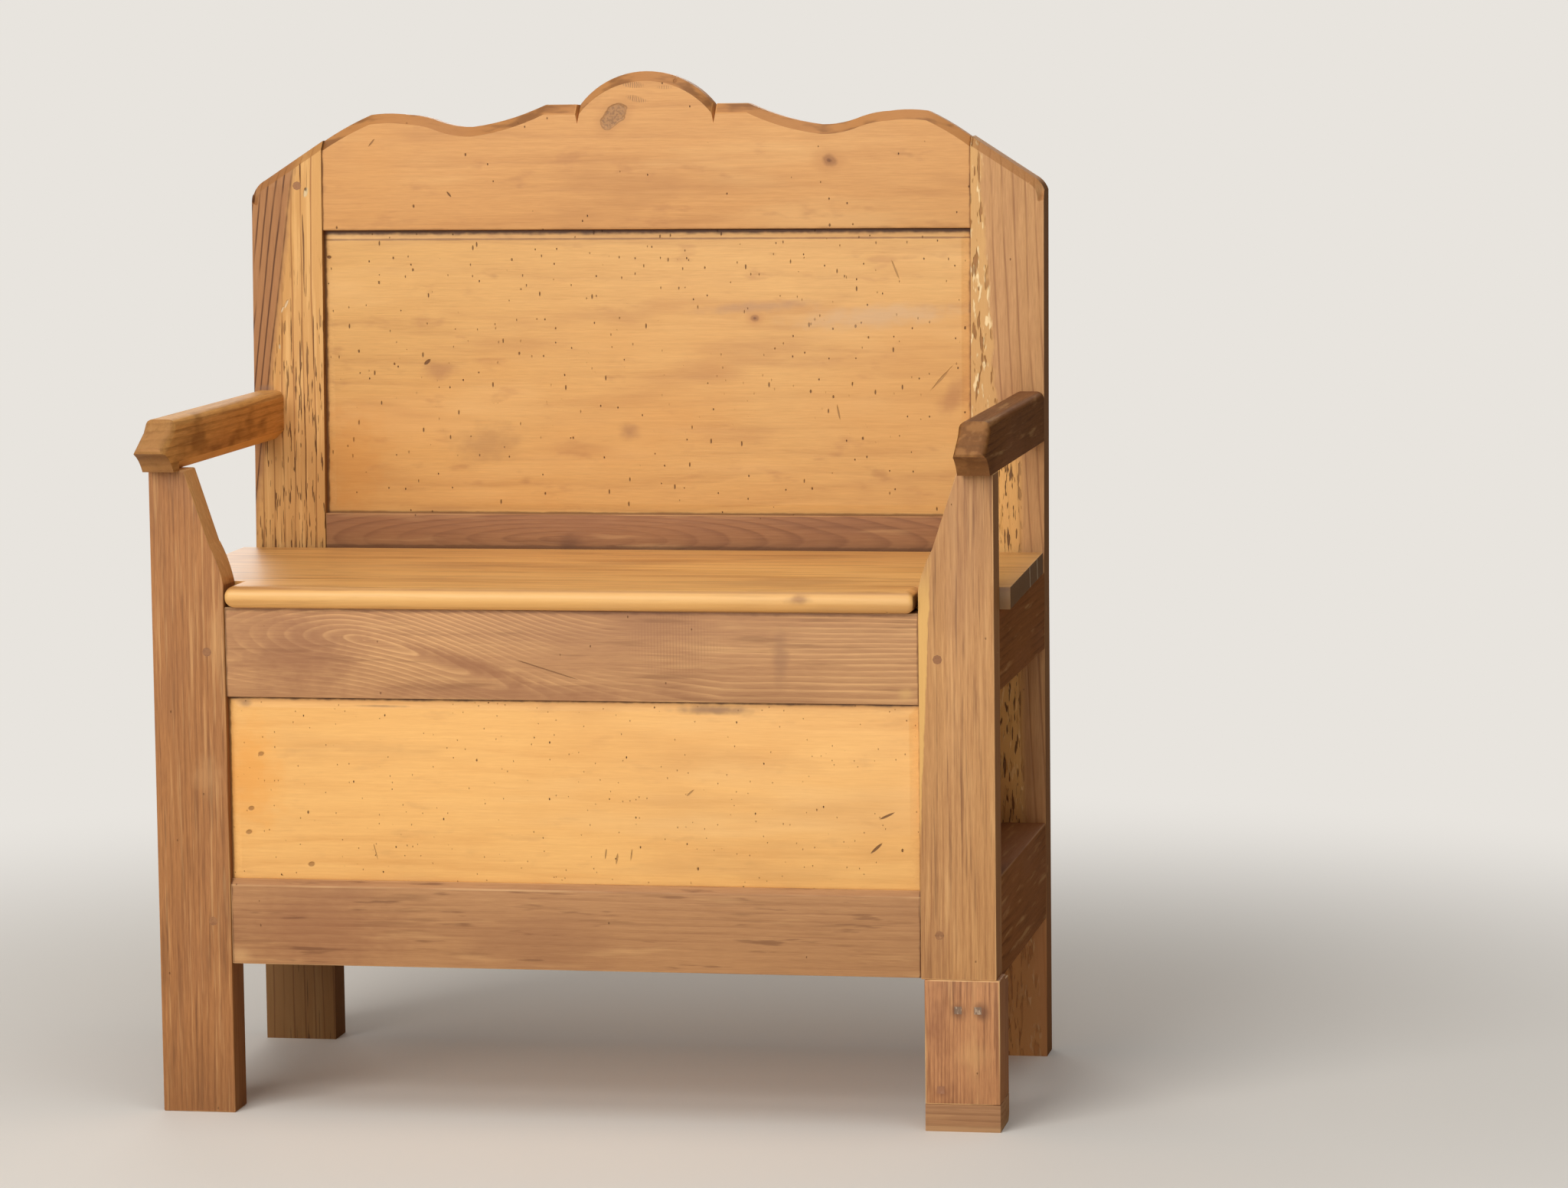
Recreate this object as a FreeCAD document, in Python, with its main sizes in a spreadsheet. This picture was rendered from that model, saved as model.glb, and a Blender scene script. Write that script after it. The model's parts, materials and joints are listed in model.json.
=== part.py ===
import FreeCAD, Part
import math
import os
import Sketcher

# A small joined settle with a lift-up seat over a panelled chest.
# X runs to the right as seen from the front, Y runs to the back, Z runs up from the floor.

os.makedirs("parts", exist_ok=True)
doc = FreeCAD.newDocument("SettleBench")
sheet = doc.addObject("Spreadsheet::Sheet", "Sizes")


class Size:
    """A number together with the sheet expression that gives it."""

    def __init__(self, value, text):
        self.value = value
        self.text = text

    def join(self, sign, other, value):
        return Size(value, f"({self.text} {sign} {other.text})")

    def __add__(self, other):
        other = sized(other)
        return self.join("+", other, self.value + other.value)

    def __sub__(self, other):
        other = sized(other)
        return self.join("-", other, self.value - other.value)

    def __mul__(self, other):
        other = sized(other)
        return self.join("*", other, self.value * other.value)

    def __truediv__(self, other):
        other = sized(other)
        return self.join("/", other, self.value / other.value)

    def __radd__(self, other):
        return sized(other) + self

    def __rsub__(self, other):
        return sized(other) - self

    def __rmul__(self, other):
        return sized(other) * self

    def __neg__(self):
        return self * -1

    def sin(self):
        return Size(math.sin(math.radians(self.value)), f"sin({self.text})")

    def cos(self):
        return Size(math.cos(math.radians(self.value)), f"cos({self.text})")

    def tan(self):
        return Size(math.tan(math.radians(self.value)), f"tan({self.text})")


def sized(number):
    return number if isinstance(number, Size) else Size(float(number), f"{float(number)}")


def size(name, value):
    """Writes one driving size to the next row of the sheet."""
    size.row += 1
    sheet.set(f"A{size.row}", name)
    sheet.set(f"B{size.row}", str(value))
    sheet.setAlias(f"B{size.row}", name)
    return Size(float(value), f"Sizes.{name}")


size.row = 0

# Overall frame
front_width = size("front_width", 820)
chest_depth = size("chest_depth", 368)
seat_height = size("seat_height", 516)
lid_thickness = size("lid_thickness", 21)
leg_width = size("leg_width", 72)
leg_thickness = size("leg_thickness", 39)
post_width = size("post_width", 74)
post_thickness = size("post_thickness", 38)
back_rake = size("back_rake", 2)
kink_drop = size("kink_drop", 5)
rail_seam = size("rail_seam", 1)

# Arms
arm_width = size("arm_width", 31)
arm_height = size("arm_height", 50)
arm_rise = size("arm_rise", 111)
arm_round = size("arm_round", 8)
arm_chamfer = size("arm_chamfer", 9)
knob_shoulder = size("knob_shoulder", 17)
knob_reach = size("knob_reach", 50)
knob_ridge_rise = size("knob_ridge_rise", 22.5)
knob_ridge_height = size("knob_ridge_height", 5)
knob_foot = size("knob_foot", 19)
knob_hollow = size("knob_hollow", 3)
knob_bevel = size("knob_bevel", 9)
knob_blunt = size("knob_blunt", 1)
arm_tenon_width = size("arm_tenon_width", 15)
arm_tenon_length = size("arm_tenon_length", 24)
arm_tenon_shoulder = size("arm_tenon_shoulder", 11)
neck_tenon_thickness = size("neck_tenon_thickness", 14)
neck_tenon_length = size("neck_tenon_length", 30)
leg_neck_width = size("leg_neck_width", 35)
leg_knee_width = size("leg_knee_width", 58)
leg_knee_rise = size("leg_knee_rise", 40)
leg_knee_bow = size("leg_knee_bow", 1.6)

# Rails, measured from the floor and from the seat
rail_thickness = size("rail_thickness", 26)
rail_setback = size("rail_setback", 1.5)
front_top_rail_height = size("front_top_rail_height", 87)
front_low_rail_gap = size("front_low_rail_gap", 147)
front_low_rail_height = size("front_low_rail_height", 83)
front_low_rail_chamfer = size("front_low_rail_chamfer", 6)
side_rail_thickness = size("side_rail_thickness", 46)
side_top_rail_height = size("side_top_rail_height", 78)
side_low_rail_gap = size("side_low_rail_gap", 142)
side_low_rail_height = size("side_low_rail_height", 98)
back_low_rail_height = size("back_low_rail_height", 60)
crest_height = size("crest_height", 841)
crest_thickness = size("crest_thickness", 27)
crest_tenon_top = size("crest_tenon_top", 61)
crest_peg_height = size("crest_peg_height", 46)
crest_peg_inset = size("crest_peg_inset", 26)

# Crest outline, as heights over the crest's lower edge and distances from its middle
crest_shift = size("crest_shift", 3)
crest_end_height = size("crest_end_height", 91)
hump_inset = size("hump_inset", 67)
hump_height = size("hump_height", 118)
hump_half_width = size("hump_half_width", 19)
hump_bow = size("hump_bow", 1.3)
slope_bow = size("slope_bow", 1.6)
hump_slope_run = size("hump_slope_run", 53.5)
turn_height = size("turn_height", 110.5)
cove_run = size("cove_run", 88)
cove_height = size("cove_height", 105)
cove_bow = size("cove_bow", 3.2)
shoulder_outer = size("shoulder_outer", 105)
shoulder_height = size("shoulder_height", 127)
notch_outer = size("notch_outer", 72.5)
notch_place = size("notch_place", 70.5)
notch_height = size("notch_height", 117)
arch_half_width = size("arch_half_width", 68.5)
arch_foot_height = size("arch_foot_height", 127)
arch_top_height = size("arch_top_height", 160)
top_bevel_height = size("top_bevel_height", 10)
top_bevel_depth = size("top_bevel_depth", 9)
post_bevel = size("post_bevel", 7.6)
post_top_outer_rise = size("post_top_outer_rise", 49)
post_top_inner_rise = size("post_top_inner_rise", 92)
post_top_round = size("post_top_round", 12)
post_top_bow = size("post_top_bow", 1.8)
post_top_lift = size("post_top_lift", 2)

# Joints between the pieces
tenon_thickness = size("tenon_thickness", 10)
tenon_inset = size("tenon_inset", 8)
tenon_length = size("tenon_length", 36)
tenon_shoulder = size("tenon_shoulder", 8)
tenon_root = size("tenon_root", 1)
side_tenon_length = size("side_tenon_length", 26)
side_tenon_thickness = size("side_tenon_thickness", 14)
side_tenon_inset = size("side_tenon_inset", 16)
mortise_spare = size("mortise_spare", 2)
groove_depth = size("groove_depth", 9)
panel_side_play = size("panel_side_play", 1)
panel_face_play = size("panel_face_play", 0.2)
panel_field_rise = size("panel_field_rise", 3)
panel_bevel_width = size("panel_bevel_width", 9)
panel_field_play = size("panel_field_play", 1)
peg_radius = size("peg_radius", 4.5)
peg_play = size("peg_play", 0.05)
peg_inset = size("peg_inset", 18)
peg_end_cover = size("peg_end_cover", 4)
peg_end_gap = size("peg_end_gap", 0.5)
peg_flats = 8

# Boards inside the chest
side_board_thickness = size("side_board_thickness", 14)
floor_board_thickness = size("floor_board_thickness", 14)
floor_height = size("floor_height", 182)
floor_board_count = 5
floor_board_gap = size("floor_board_gap", 1)
ledger_width = size("ledger_width", 22)
ledger_height = size("ledger_height", 22)
ledger_end_play = size("ledger_end_play", 2)
ledger_nail_share = size("ledger_nail_share", 0.8)
batten_width = size("batten_width", 40)
batten_thickness = size("batten_thickness", 18)
batten_inset = size("batten_inset", 148)
batten_end_gap = size("batten_end_gap", 45)
nail_half = size("nail_half", 1.6)
nail_head_half = size("nail_head_half", 3.5)
nail_head_height = size("nail_head_height", 1.4)
nail_length = size("nail_length", 38)
nail_inset = size("nail_inset", 24)
batten_nail_bite = size("batten_nail_bite", 12)

# Seat lid and its hinges
lid_overhang = size("lid_overhang", 10)
lid_left_taper = size("lid_left_taper", 4)
lid_right_taper = size("lid_right_taper", 10)
lid_nose_reach = size("lid_nose_reach", 10)
lid_nose_round = size("lid_nose_round", 9.5)
lid_corner_round = size("lid_corner_round", 5)
lid_side_play = size("lid_side_play", 2.5)
lid_back_gap = size("lid_back_gap", 10)
hinge_inset = size("hinge_inset", 86)
hinge_width = size("hinge_width", 60)
hinge_leaf_thickness = size("hinge_leaf_thickness", 2)
hinge_leaf_reach = size("hinge_leaf_reach", 34)
knuckle_radius = size("knuckle_radius", 4)
knuckle_play = size("knuckle_play", 0.3)
hinge_pin_radius = size("hinge_pin_radius", 1.8)
hinge_pin_play = size("hinge_pin_play", 0.05)
screw_radius = size("screw_radius", 1.7)
screw_head_radius = size("screw_head_radius", 3.2)
screw_head_height = size("screw_head_height", 1.6)
screw_reach = size("screw_reach", 20)
screw_length = size("screw_length", 14)
screw_spread = size("screw_spread", 19)

# Repaired right foot
splice_height = size("splice_height", 146)
foot_depth = size("foot_depth", 60)
foot_proud = size("foot_proud", 3)
sole_height = size("sole_height", 26)
sole_round = size("sole_round", 10)
tongue_length = size("tongue_length", 112)
tongue_width = size("tongue_width", 52)
tongue_thickness = size("tongue_thickness", 18)
tongue_inset = size("tongue_inset", 11)
foot_nail_drop = size("foot_nail_drop", 29)
foot_nail_lift = size("foot_nail_lift", 6)
foot_nail_inset = size("foot_nail_inset", 8)
foot_nail_middle = size("foot_nail_middle", 25)

# Places that follow from the sizes
half_width = front_width / 2
leg_inner = half_width - leg_width
post_inner = half_width - post_width
hump_place = post_inner - hump_inset
turn_place = hump_place - hump_slope_run
cove_place = hump_place - cove_run
hinge_place = post_inner - hinge_inset
batten_place = leg_inner - batten_inset
lid_underside = seat_height - lid_thickness
arm_underside = seat_height + arm_rise
arm_top = arm_underside + arm_height
kink_height = lid_underside - kink_drop
post_top_outer = crest_height + post_top_outer_rise
post_top_inner = crest_height + post_top_inner_rise
post_top_reach = post_top_inner - kink_height
overall_depth = (knob_reach + chest_depth + post_thickness * back_rake.cos()
                 + post_top_reach * back_rake.sin())
front_face = knob_reach - overall_depth / 2
leg_back = front_face + leg_thickness
post_face = front_face + chest_depth
post_back = post_face + post_thickness
front_rail_face = front_face + rail_setback
back_rail_face = post_face + rail_setback
front_top_rail_low = lid_underside - front_top_rail_height
front_low_rail_high = front_low_rail_gap + front_low_rail_height
side_top_rail_low = lid_underside - side_top_rail_height
side_low_rail_high = side_low_rail_gap + side_low_rail_height
chest_rail_high = kink_height - rail_seam
side_rail_inner = half_width - side_rail_thickness
side_board_inner = side_rail_inner - side_board_thickness
side_tenon_outer = half_width - side_tenon_inset
side_tenon_inner = side_tenon_outer - side_tenon_thickness
hinge_axis_y = back_rail_face - knuckle_radius - knuckle_play
hinge_axis_z = lid_underside - knuckle_radius - knuckle_play
arm_inner = half_width - arm_width
arm_tenon_inner = arm_inner + (arm_width - arm_tenon_width) / 2
arm_tenon_low = arm_underside + arm_tenon_shoulder
arm_tenon_high = arm_top - arm_tenon_shoulder
arm_lean = (arm_top - kink_height) * back_rake.tan()

# Each drawing plane has its origin plane, and the sign of its normal on the world axis it faces
PLANES = {
    "front": ("XZ_Plane", -1),
    "leaning": ("XZ_Plane", -1),
    "side": ("YZ_Plane", 1),
    "top": ("XY_Plane", 1),
}


def bind(item, path, value):
    """Sets a property through the sheet, so that it follows the driving sizes."""
    item.setExpression(path, sized(value).text)


def new_body(name, placed=None):
    body = doc.addObject("PartDesign::Body", name)
    body.Label = name
    if placed:
        placed(body)
    return body


def new_sketch(body, plane, place):
    role, sign = PLANES[plane]
    sketch = body.newObject("Sketcher::SketchObject", "Outline")
    origin = next(item for item in body.Origin.OriginFeatures if item.Role == role)
    sketch.AttachmentSupport = [(origin, "")]
    sketch.MapMode = "FlatFace"
    if plane == "leaning":
        depth, height = lean(place, 0)
        sketch.AttachmentOffset.Rotation = FreeCAD.Rotation(FreeCAD.Vector(1, 0, 0), -back_rake.value)
        bind(sketch, "AttachmentOffset.Rotation.Angle", -back_rake)
        bind(sketch, "AttachmentOffset.Base.y", height)
        bind(sketch, "AttachmentOffset.Base.z", -depth)
    else:
        bind(sketch, "AttachmentOffset.Base.z", sized(place) * sign)
    return sketch


def hold(sketch, kind, target, value):
    """Adds one dimension to a sketch and ties it to the sheet."""
    value = sized(value)
    number = sketch.addConstraint(Sketcher.Constraint(kind, *target, value.value))
    sketch.setExpression(f"Constraints[{number}]", value.text)


def draw(sketch, outline):
    """Draws a closed outline of corners, each (across, up) or (across, up, bow).

    The bow is how far the edge that leaves the corner swells to the right of its own
    direction, as an arc. A minus bow swells to the left.
    """
    corners = [(sized(entry[0]), sized(entry[1])) for entry in outline]
    bows = [sized(entry[2]) if len(entry) > 2 else None for entry in outline]
    ends = []
    for index, bow in enumerate(bows):
        start, finish = corners[index], corners[(index + 1) % len(corners)]
        first = FreeCAD.Vector(start[0].value, start[1].value, 0)
        last = FreeCAD.Vector(finish[0].value, finish[1].value, 0)
        if bow is None:
            edge = sketch.addGeometry(Part.LineSegment(first, last), False)
            ends.append((edge, 1, 2))
            continue
        run = last - first
        aside = FreeCAD.Vector(run.y, -run.x, 0).normalize()
        middle = (first + last) / 2 + aside * bow.value
        edge = sketch.addGeometry(Part.ArcOfCircle(first, middle, last), False)
        forward = (sketch.getPoint(edge, 1) - first).Length < (sketch.getPoint(edge, 2) - first).Length
        ends.append((edge, 1, 2) if forward else (edge, 2, 1))
    for index, (edge, begin, end) in enumerate(ends):
        following = ends[(index + 1) % len(ends)]
        sketch.addConstraint(Sketcher.Constraint("Coincident", edge, end, following[0], following[1]))
        hold(sketch, "DistanceX", (-1, 1, edge, begin), corners[index][0])
        hold(sketch, "DistanceY", (-1, 1, edge, begin), corners[index][1])
        bow = bows[index]
        if bow is not None:
            rise = bow if bow.value > 0 else -bow
            across = corners[(index + 1) % len(corners)][0] - corners[index][0]
            upward = corners[(index + 1) % len(corners)][1] - corners[index][1]
            half_squared = (across * across + upward * upward) / 4
            hold(sketch, "Radius", (edge,), (half_squared + rise * rise) / (rise * 2))


def rectangle(left, low, right, high):
    return [(left, low), (right, low), (right, high), (left, high)]


def square(across, up, half):
    return rectangle(across - half, up - half, across + half, up + half)


def shaved_round(across, up, radius):
    """The outline of a peg or screw shaved to a few flats."""
    angles = [math.radians(360 / peg_flats * flat) for flat in range(peg_flats)]
    return [(across + radius * math.cos(angle), up + radius * math.sin(angle)) for angle in angles]


def pad(body, plane, outline, low, high):
    """Grows an outline into wood between two places on the axis that the plane faces."""
    sketch = new_sketch(body, plane, low if PLANES[plane][1] > 0 else high)
    draw(sketch, outline)
    feature = body.newObject("PartDesign::Pad", "Pad")
    feature.Profile = sketch
    bind(feature, "Length", sized(high) - low)
    doc.recompute()
    return feature


def pocket(body, plane, low, high, paint):
    """Cuts between two places on the axis that the plane faces, and makes sure that it cuts."""
    before = body.Shape.Volume
    sketch = new_sketch(body, plane, high if PLANES[plane][1] > 0 else low)
    paint(sketch)
    feature = body.newObject("PartDesign::Pocket", "Pocket")
    feature.Profile = sketch
    bind(feature, "Length", sized(high) - low)
    doc.recompute()
    if body.Shape.Volume > before - 0.5:
        raise RuntimeError(f"a cut in {body.Label} removes nothing")
    return feature


def cut(body, plane, outline, low, high):
    return pocket(body, plane, low, high, lambda sketch: draw(sketch, outline))


def bore(body, plane, centres, radius, low, high, section=shaved_round):
    """Cuts one hole of the given section at each centre."""
    def paint(sketch):
        for across, up in centres:
            draw(sketch, section(across, up, radius))
    return pocket(body, plane, low, high, paint)


def loft(body, plane, outline, place, far_outline, far_place):
    """Runs straight facets from one outline to another that has the same corners."""
    sketch = new_sketch(body, plane, place)
    draw(sketch, outline)
    far_sketch = new_sketch(body, plane, far_place)
    draw(far_sketch, far_outline)
    feature = body.newObject("PartDesign::AdditiveLoft", "Loft")
    feature.Profile = sketch
    feature.Sections = [far_sketch]
    feature.Ruled = True
    doc.recompute()
    return feature


def edges_where(feature, wanted):
    return [f"Edge{number}" for number, edge in enumerate(feature.Shape.Edges, 1) if wanted(edge)]


def dress(body, kind, feature, edges, amount):
    """Adds a Fillet or a Chamfer to the named edges."""
    dressing = body.newObject(f"PartDesign::{kind}", kind)
    dressing.Base = (feature, edges)
    bind(dressing, "Radius" if kind == "Fillet" else "Size", amount)
    doc.recompute()
    return dressing


def spread(side, inner, outer):
    """Orders two distances from the middle so that the lower comes first on either side."""
    return (inner, outer) if side > 0 else (-outer, -inner)


def both_ways(outline, side):
    """Gives an outline drawn for the right-hand side, or its mirror image for the left."""
    if side > 0:
        return outline
    return [tuple([-sized(entry[0]), entry[1]] + [-sized(bow) for bow in entry[2:]]) for entry in outline]


def lean(across, up):
    """Turns depth and height in the leaning back into depth and height in the room."""
    depth = post_face + sized(across) * back_rake.cos() + sized(up) * back_rake.sin()
    return depth, kink_height - sized(across) * back_rake.sin() + sized(up) * back_rake.cos()


def set_in_back(body):
    """Places a body in the leaning back, where its own Y and Z start at the kink of the posts."""
    bind(body, "Placement.Base.y", post_face)
    bind(body, "Placement.Base.z", kink_height)
    body.Placement.Rotation = FreeCAD.Rotation(FreeCAD.Vector(1, 0, 0), -back_rake.value)
    bind(body, "Placement.Rotation.Angle", -back_rake)


def place_along(shaft, length, corner, axis):
    """Lays a shaft along X, Y or Z from a start corner."""
    turns = {"x": ((0, 1, 0), 90), "y": ((1, 0, 0), -90), "z": ((0, 0, 1), 0)}
    direction, angle = turns[axis]
    shaft.Placement.Rotation = FreeCAD.Rotation(FreeCAD.Vector(*direction), angle)
    bind(shaft, "Height", length)
    for letter, value in zip("xyz", corner):
        bind(shaft, f"Placement.Base.{letter}", value)
    return shaft


def rod(name, radius, length, corner, axis):
    shaft = doc.addObject("Part::Cylinder", name)
    bind(shaft, "Radius", radius)
    return place_along(shaft, length, corner, axis)


def peg(name, radius, length, corner, axis):
    """A peg or screw with the flats of shaved_round."""
    shaft = doc.addObject("Part::Prism", name)
    shaft.Polygon = peg_flats
    bind(shaft, "Circumradius", radius)
    return place_along(shaft, length, corner, axis)


def block(name, low_corner, high_corner):
    """A rectangular block between two corners."""
    box = doc.addObject("Part::Box", name)
    names = ("Length", "Width", "Height")
    for letter, side, low, high in zip("xyz", names, low_corner, high_corner):
        bind(box, side, sized(high) - low)
        bind(box, f"Placement.Base.{letter}", low)
    return box


def fuse(name, shapes):
    joined = doc.addObject("Part::MultiFuse", name)
    joined.Shapes = shapes
    return joined


def subtract(name, base, tool):
    remaining = doc.addObject("Part::Cut", name)
    remaining.Base = base
    remaining.Tool = tool
    return remaining


def group(name, shapes):
    """Keeps like fasteners as separate solids in one node."""
    bundle = doc.addObject("Part::Compound", name)
    bundle.Links = shapes
    bundle.Label = name
    return bundle


# Front frame

front_tenon_near = front_rail_face + tenon_inset
front_tenon_far = front_tenon_near + tenon_thickness
front_rails = [(front_top_rail_low, lid_underside), (front_low_rail_gap, front_low_rail_high)]
side_rails = [(side_top_rail_low, lid_underside), (side_low_rail_gap, side_low_rail_high)]
peg_hole = peg_radius + peg_play
neck_tenon_outer = half_width - (arm_width - arm_chamfer - neck_tenon_thickness) / 2
neck_tenon_inner = neck_tenon_outer - neck_tenon_thickness
neck_tenon_near = front_face + leg_thickness / 4
neck_tenon_far = leg_back - leg_thickness / 4
tongue_inner = leg_inner + (leg_width - tongue_width) / 2


def cut_side_mortises(body, side, near, far):
    """Sinks the mortises of both side rails into a leg or a rear post."""
    low, high = spread(side, side_tenon_inner, side_tenon_outer)
    for rail_low, rail_high in side_rails:
        cut(body, "front", rectangle(low, rail_low + tenon_shoulder, high, rail_high - tenon_shoulder),
            near, far)


def bore_side_pegs(body, side, place):
    """Bores the peg holes of the side rails inwards from the outer face."""
    middles = [(place, (low + high) / 2) for low, high in side_rails]
    low, high = spread(side, side_tenon_inner - peg_end_cover, half_width)
    bore(body, "side", middles, peg_hole, low, high)


def front_leg(name, side, foot):
    """A front leg that narrows above the seat to the neck under the arm."""
    body = new_body(name)
    outline = [(leg_inner, foot), (half_width, foot), (half_width, arm_underside),
               (half_width - leg_neck_width, arm_underside),
               (half_width - leg_knee_width, seat_height + leg_knee_rise, leg_knee_bow),
               (leg_inner, seat_height)]
    pad(body, "front", both_ways(outline, side), front_face, leg_back)
    low, high = spread(side, neck_tenon_inner, neck_tenon_outer)
    pad(body, "front", rectangle(low, arm_underside - tenon_root, high, arm_underside + neck_tenon_length),
        neck_tenon_near, neck_tenon_far)
    if side > 0:
        low, high = spread(side, tongue_inner, tongue_inner + tongue_width)
        pad(body, "front", rectangle(low, splice_height - tongue_length, high,
                                     splice_height + tenon_root),
            front_face + tongue_inset, front_face + tongue_inset + tongue_thickness)
    low, high = spread(side, leg_inner, leg_inner + tenon_length + mortise_spare)
    for rail_low, rail_high in front_rails:
        cut(body, "side", rectangle(front_tenon_near, rail_low + tenon_shoulder,
                                    front_tenon_far, rail_high - tenon_shoulder), low, high)
    low, high = spread(side, leg_inner, leg_inner + groove_depth)
    cut(body, "side", rectangle(front_tenon_near, front_low_rail_high - tenon_shoulder,
                                front_tenon_far, front_top_rail_low + tenon_shoulder), low, high)
    cut_side_mortises(body, side, leg_back - side_tenon_length - mortise_spare, leg_back)
    pegs = [((leg_inner + peg_inset) * side, (low + high) / 2) for low, high in front_rails]
    bore(body, "front", pegs, peg_hole, front_face, front_tenon_far + peg_end_cover)
    bore_side_pegs(body, side, leg_back - side_tenon_length / 2)
    return body


def rail_profile(face, low, high, groove_edges, chamfer=None):
    """The end view of a rail, grooved on the edges that hold a panel."""
    back = face + rail_thickness
    near = face + tenon_inset
    far = near + tenon_thickness
    outline = [(face, low)]
    if "low" in groove_edges:
        outline += [(near, low), (near, low + groove_depth), (far, low + groove_depth), (far, low)]
    outline += [(back, low), (back, high)]
    if "high" in groove_edges:
        outline += [(far, high), (far, high - groove_depth), (near, high - groove_depth), (near, high)]
    if chamfer:
        return outline + [(face + chamfer, high), (face, high - chamfer)]
    return outline + [(face, high)]


def rail(name, face, low, high, inner, groove_edges, placed=None, chamfer=None):
    """A rail between two uprights with a tenon at each end and a peg hole in each tenon."""
    body = new_body(name, placed)
    pad(body, "side", rail_profile(face, low, high, groove_edges, chamfer), -inner, inner)
    near = face + tenon_inset
    far = near + tenon_thickness
    for side in (-1, 1):
        start, finish = spread(side, inner - tenon_root, inner + tenon_length)
        pad(body, "side", rectangle(near, low + tenon_shoulder, far, high - tenon_shoulder), start, finish)
    middles = [((inner + peg_inset) * side, (low + high) / 2) for side in (-1, 1)]
    bore(body, "front", middles, peg_hole, near, far)
    return body


def panel(name, face, low, high, inner, placed=None):
    """A panel whose thin edges sit in the grooves, with a bevelled field standing forward."""
    body = new_body(name, placed)
    near = face + tenon_inset + panel_face_play
    far = face + tenon_inset + tenon_thickness - panel_face_play
    reach = groove_depth - panel_side_play
    pad(body, "front", rectangle(-inner - reach, low - reach, inner + reach, high + reach), near, far)
    edge = inner - panel_field_play
    field_low = low + panel_field_play
    field_high = high - panel_field_play
    raised = rectangle(panel_bevel_width - edge, field_low + panel_bevel_width,
                       edge - panel_bevel_width, field_high - panel_bevel_width)
    loft(body, "front", rectangle(-edge, field_low, edge, field_high), near, raised, near - panel_field_rise)
    return body


front_leg("front_leg_left", -1, sized(0))
front_leg("front_leg_right", 1, splice_height)
rail("front_top_rail", front_rail_face, front_top_rail_low, lid_underside, leg_inner, ("low",))
front_low = rail("front_low_rail", front_rail_face, front_low_rail_gap, front_low_rail_high, leg_inner,
                 ("high",), chamfer=front_low_rail_chamfer)
panel("front_panel", front_rail_face, front_low_rail_high, front_top_rail_low, leg_inner)


# Repaired foot of the right front leg

foot_inner = leg_inner + foot_proud
foot_outer = half_width + foot_proud
tongue_near = front_face + tongue_inset
tongue_far = tongue_near + tongue_thickness
tongue_low = splice_height - tongue_length
foot_nail_places = [(tongue_inner + foot_nail_middle, splice_height - foot_nail_drop),
                    (tongue_inner + tongue_width - foot_nail_inset, splice_height - foot_nail_drop),
                    (tongue_inner + foot_nail_inset, tongue_low + foot_nail_lift)]


def nails(name, places, start, axis, direction=1, length=nail_length):
    """Square forged nails with flush heads at the start place, at (first, second) across the axis."""
    wholes = []
    for first, second in places:
        pieces = []
        for half, reach in ((nail_half, length), (nail_head_half, nail_head_height)):
            low, high = (start, start + reach) if direction > 0 else (start - reach, start)
            near = {"x": (low, first - half, second - half), "y": (first - half, low, second - half),
                    "z": (first - half, second - half, low)}
            far = {"x": (high, first + half, second + half), "y": (first + half, high, second + half),
                   "z": (first + half, second + half, high)}
            pieces.append(block(f"{name}_bar", near[axis], far[axis]))
        wholes.append(fuse(f"{name}_nail", pieces))
    return group(name, wholes)


def bore_nails(body, plane, places, start, direction=1, head=True, length=nail_length):
    """Cuts nail holes from the start place, with a wider seat for the heads where they show."""
    depths = [(nail_half + peg_play, length)]
    if head:
        depths.append((nail_head_half + peg_play, nail_head_height))
    for radius, depth in depths:
        low, high = (start, start + depth) if direction > 0 else (start - depth, start)
        bore(body, plane, places, radius, low, high, square)


def spliced_foot():
    """A newer, deeper foot that takes the tongue of the shortened leg."""
    body = new_body("spliced_foot")
    pad(body, "front", rectangle(foot_inner, sole_height, foot_outer, splice_height), front_face, leg_back)
    pad(body, "front", rectangle(foot_inner, sole_height, foot_outer, side_low_rail_gap - rail_seam),
        leg_back, front_face + foot_depth)
    cut(body, "front", rectangle(tongue_inner, tongue_low - mortise_spare, tongue_inner + tongue_width,
                                 splice_height), tongue_near, tongue_far)
    bore_nails(body, "front", foot_nail_places, front_face)
    return body


bore_nails(doc.getObject("front_leg_right"), "front", foot_nail_places, tongue_near, head=False,
           length=tongue_thickness)
spliced_foot()
nails("foot_nails", foot_nail_places, front_face, "y")


def foot_sole():
    """The block under the spliced foot, with its back edge worn round."""
    body = new_body("foot_sole")
    sole = pad(body, "front", rectangle(foot_inner, 0, foot_outer, sole_height),
               front_face, front_face + foot_depth)
    worn = edges_where(sole, lambda edge: edge.BoundBox.ZMax < 0.1
                       and edge.BoundBox.YMin > (front_face + foot_depth).value - 0.1)
    dress(body, "Fillet", sole, worn, sole_round)
    return body


foot_sole()


# Rear posts, with the upper part leaning back from the kink

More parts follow.
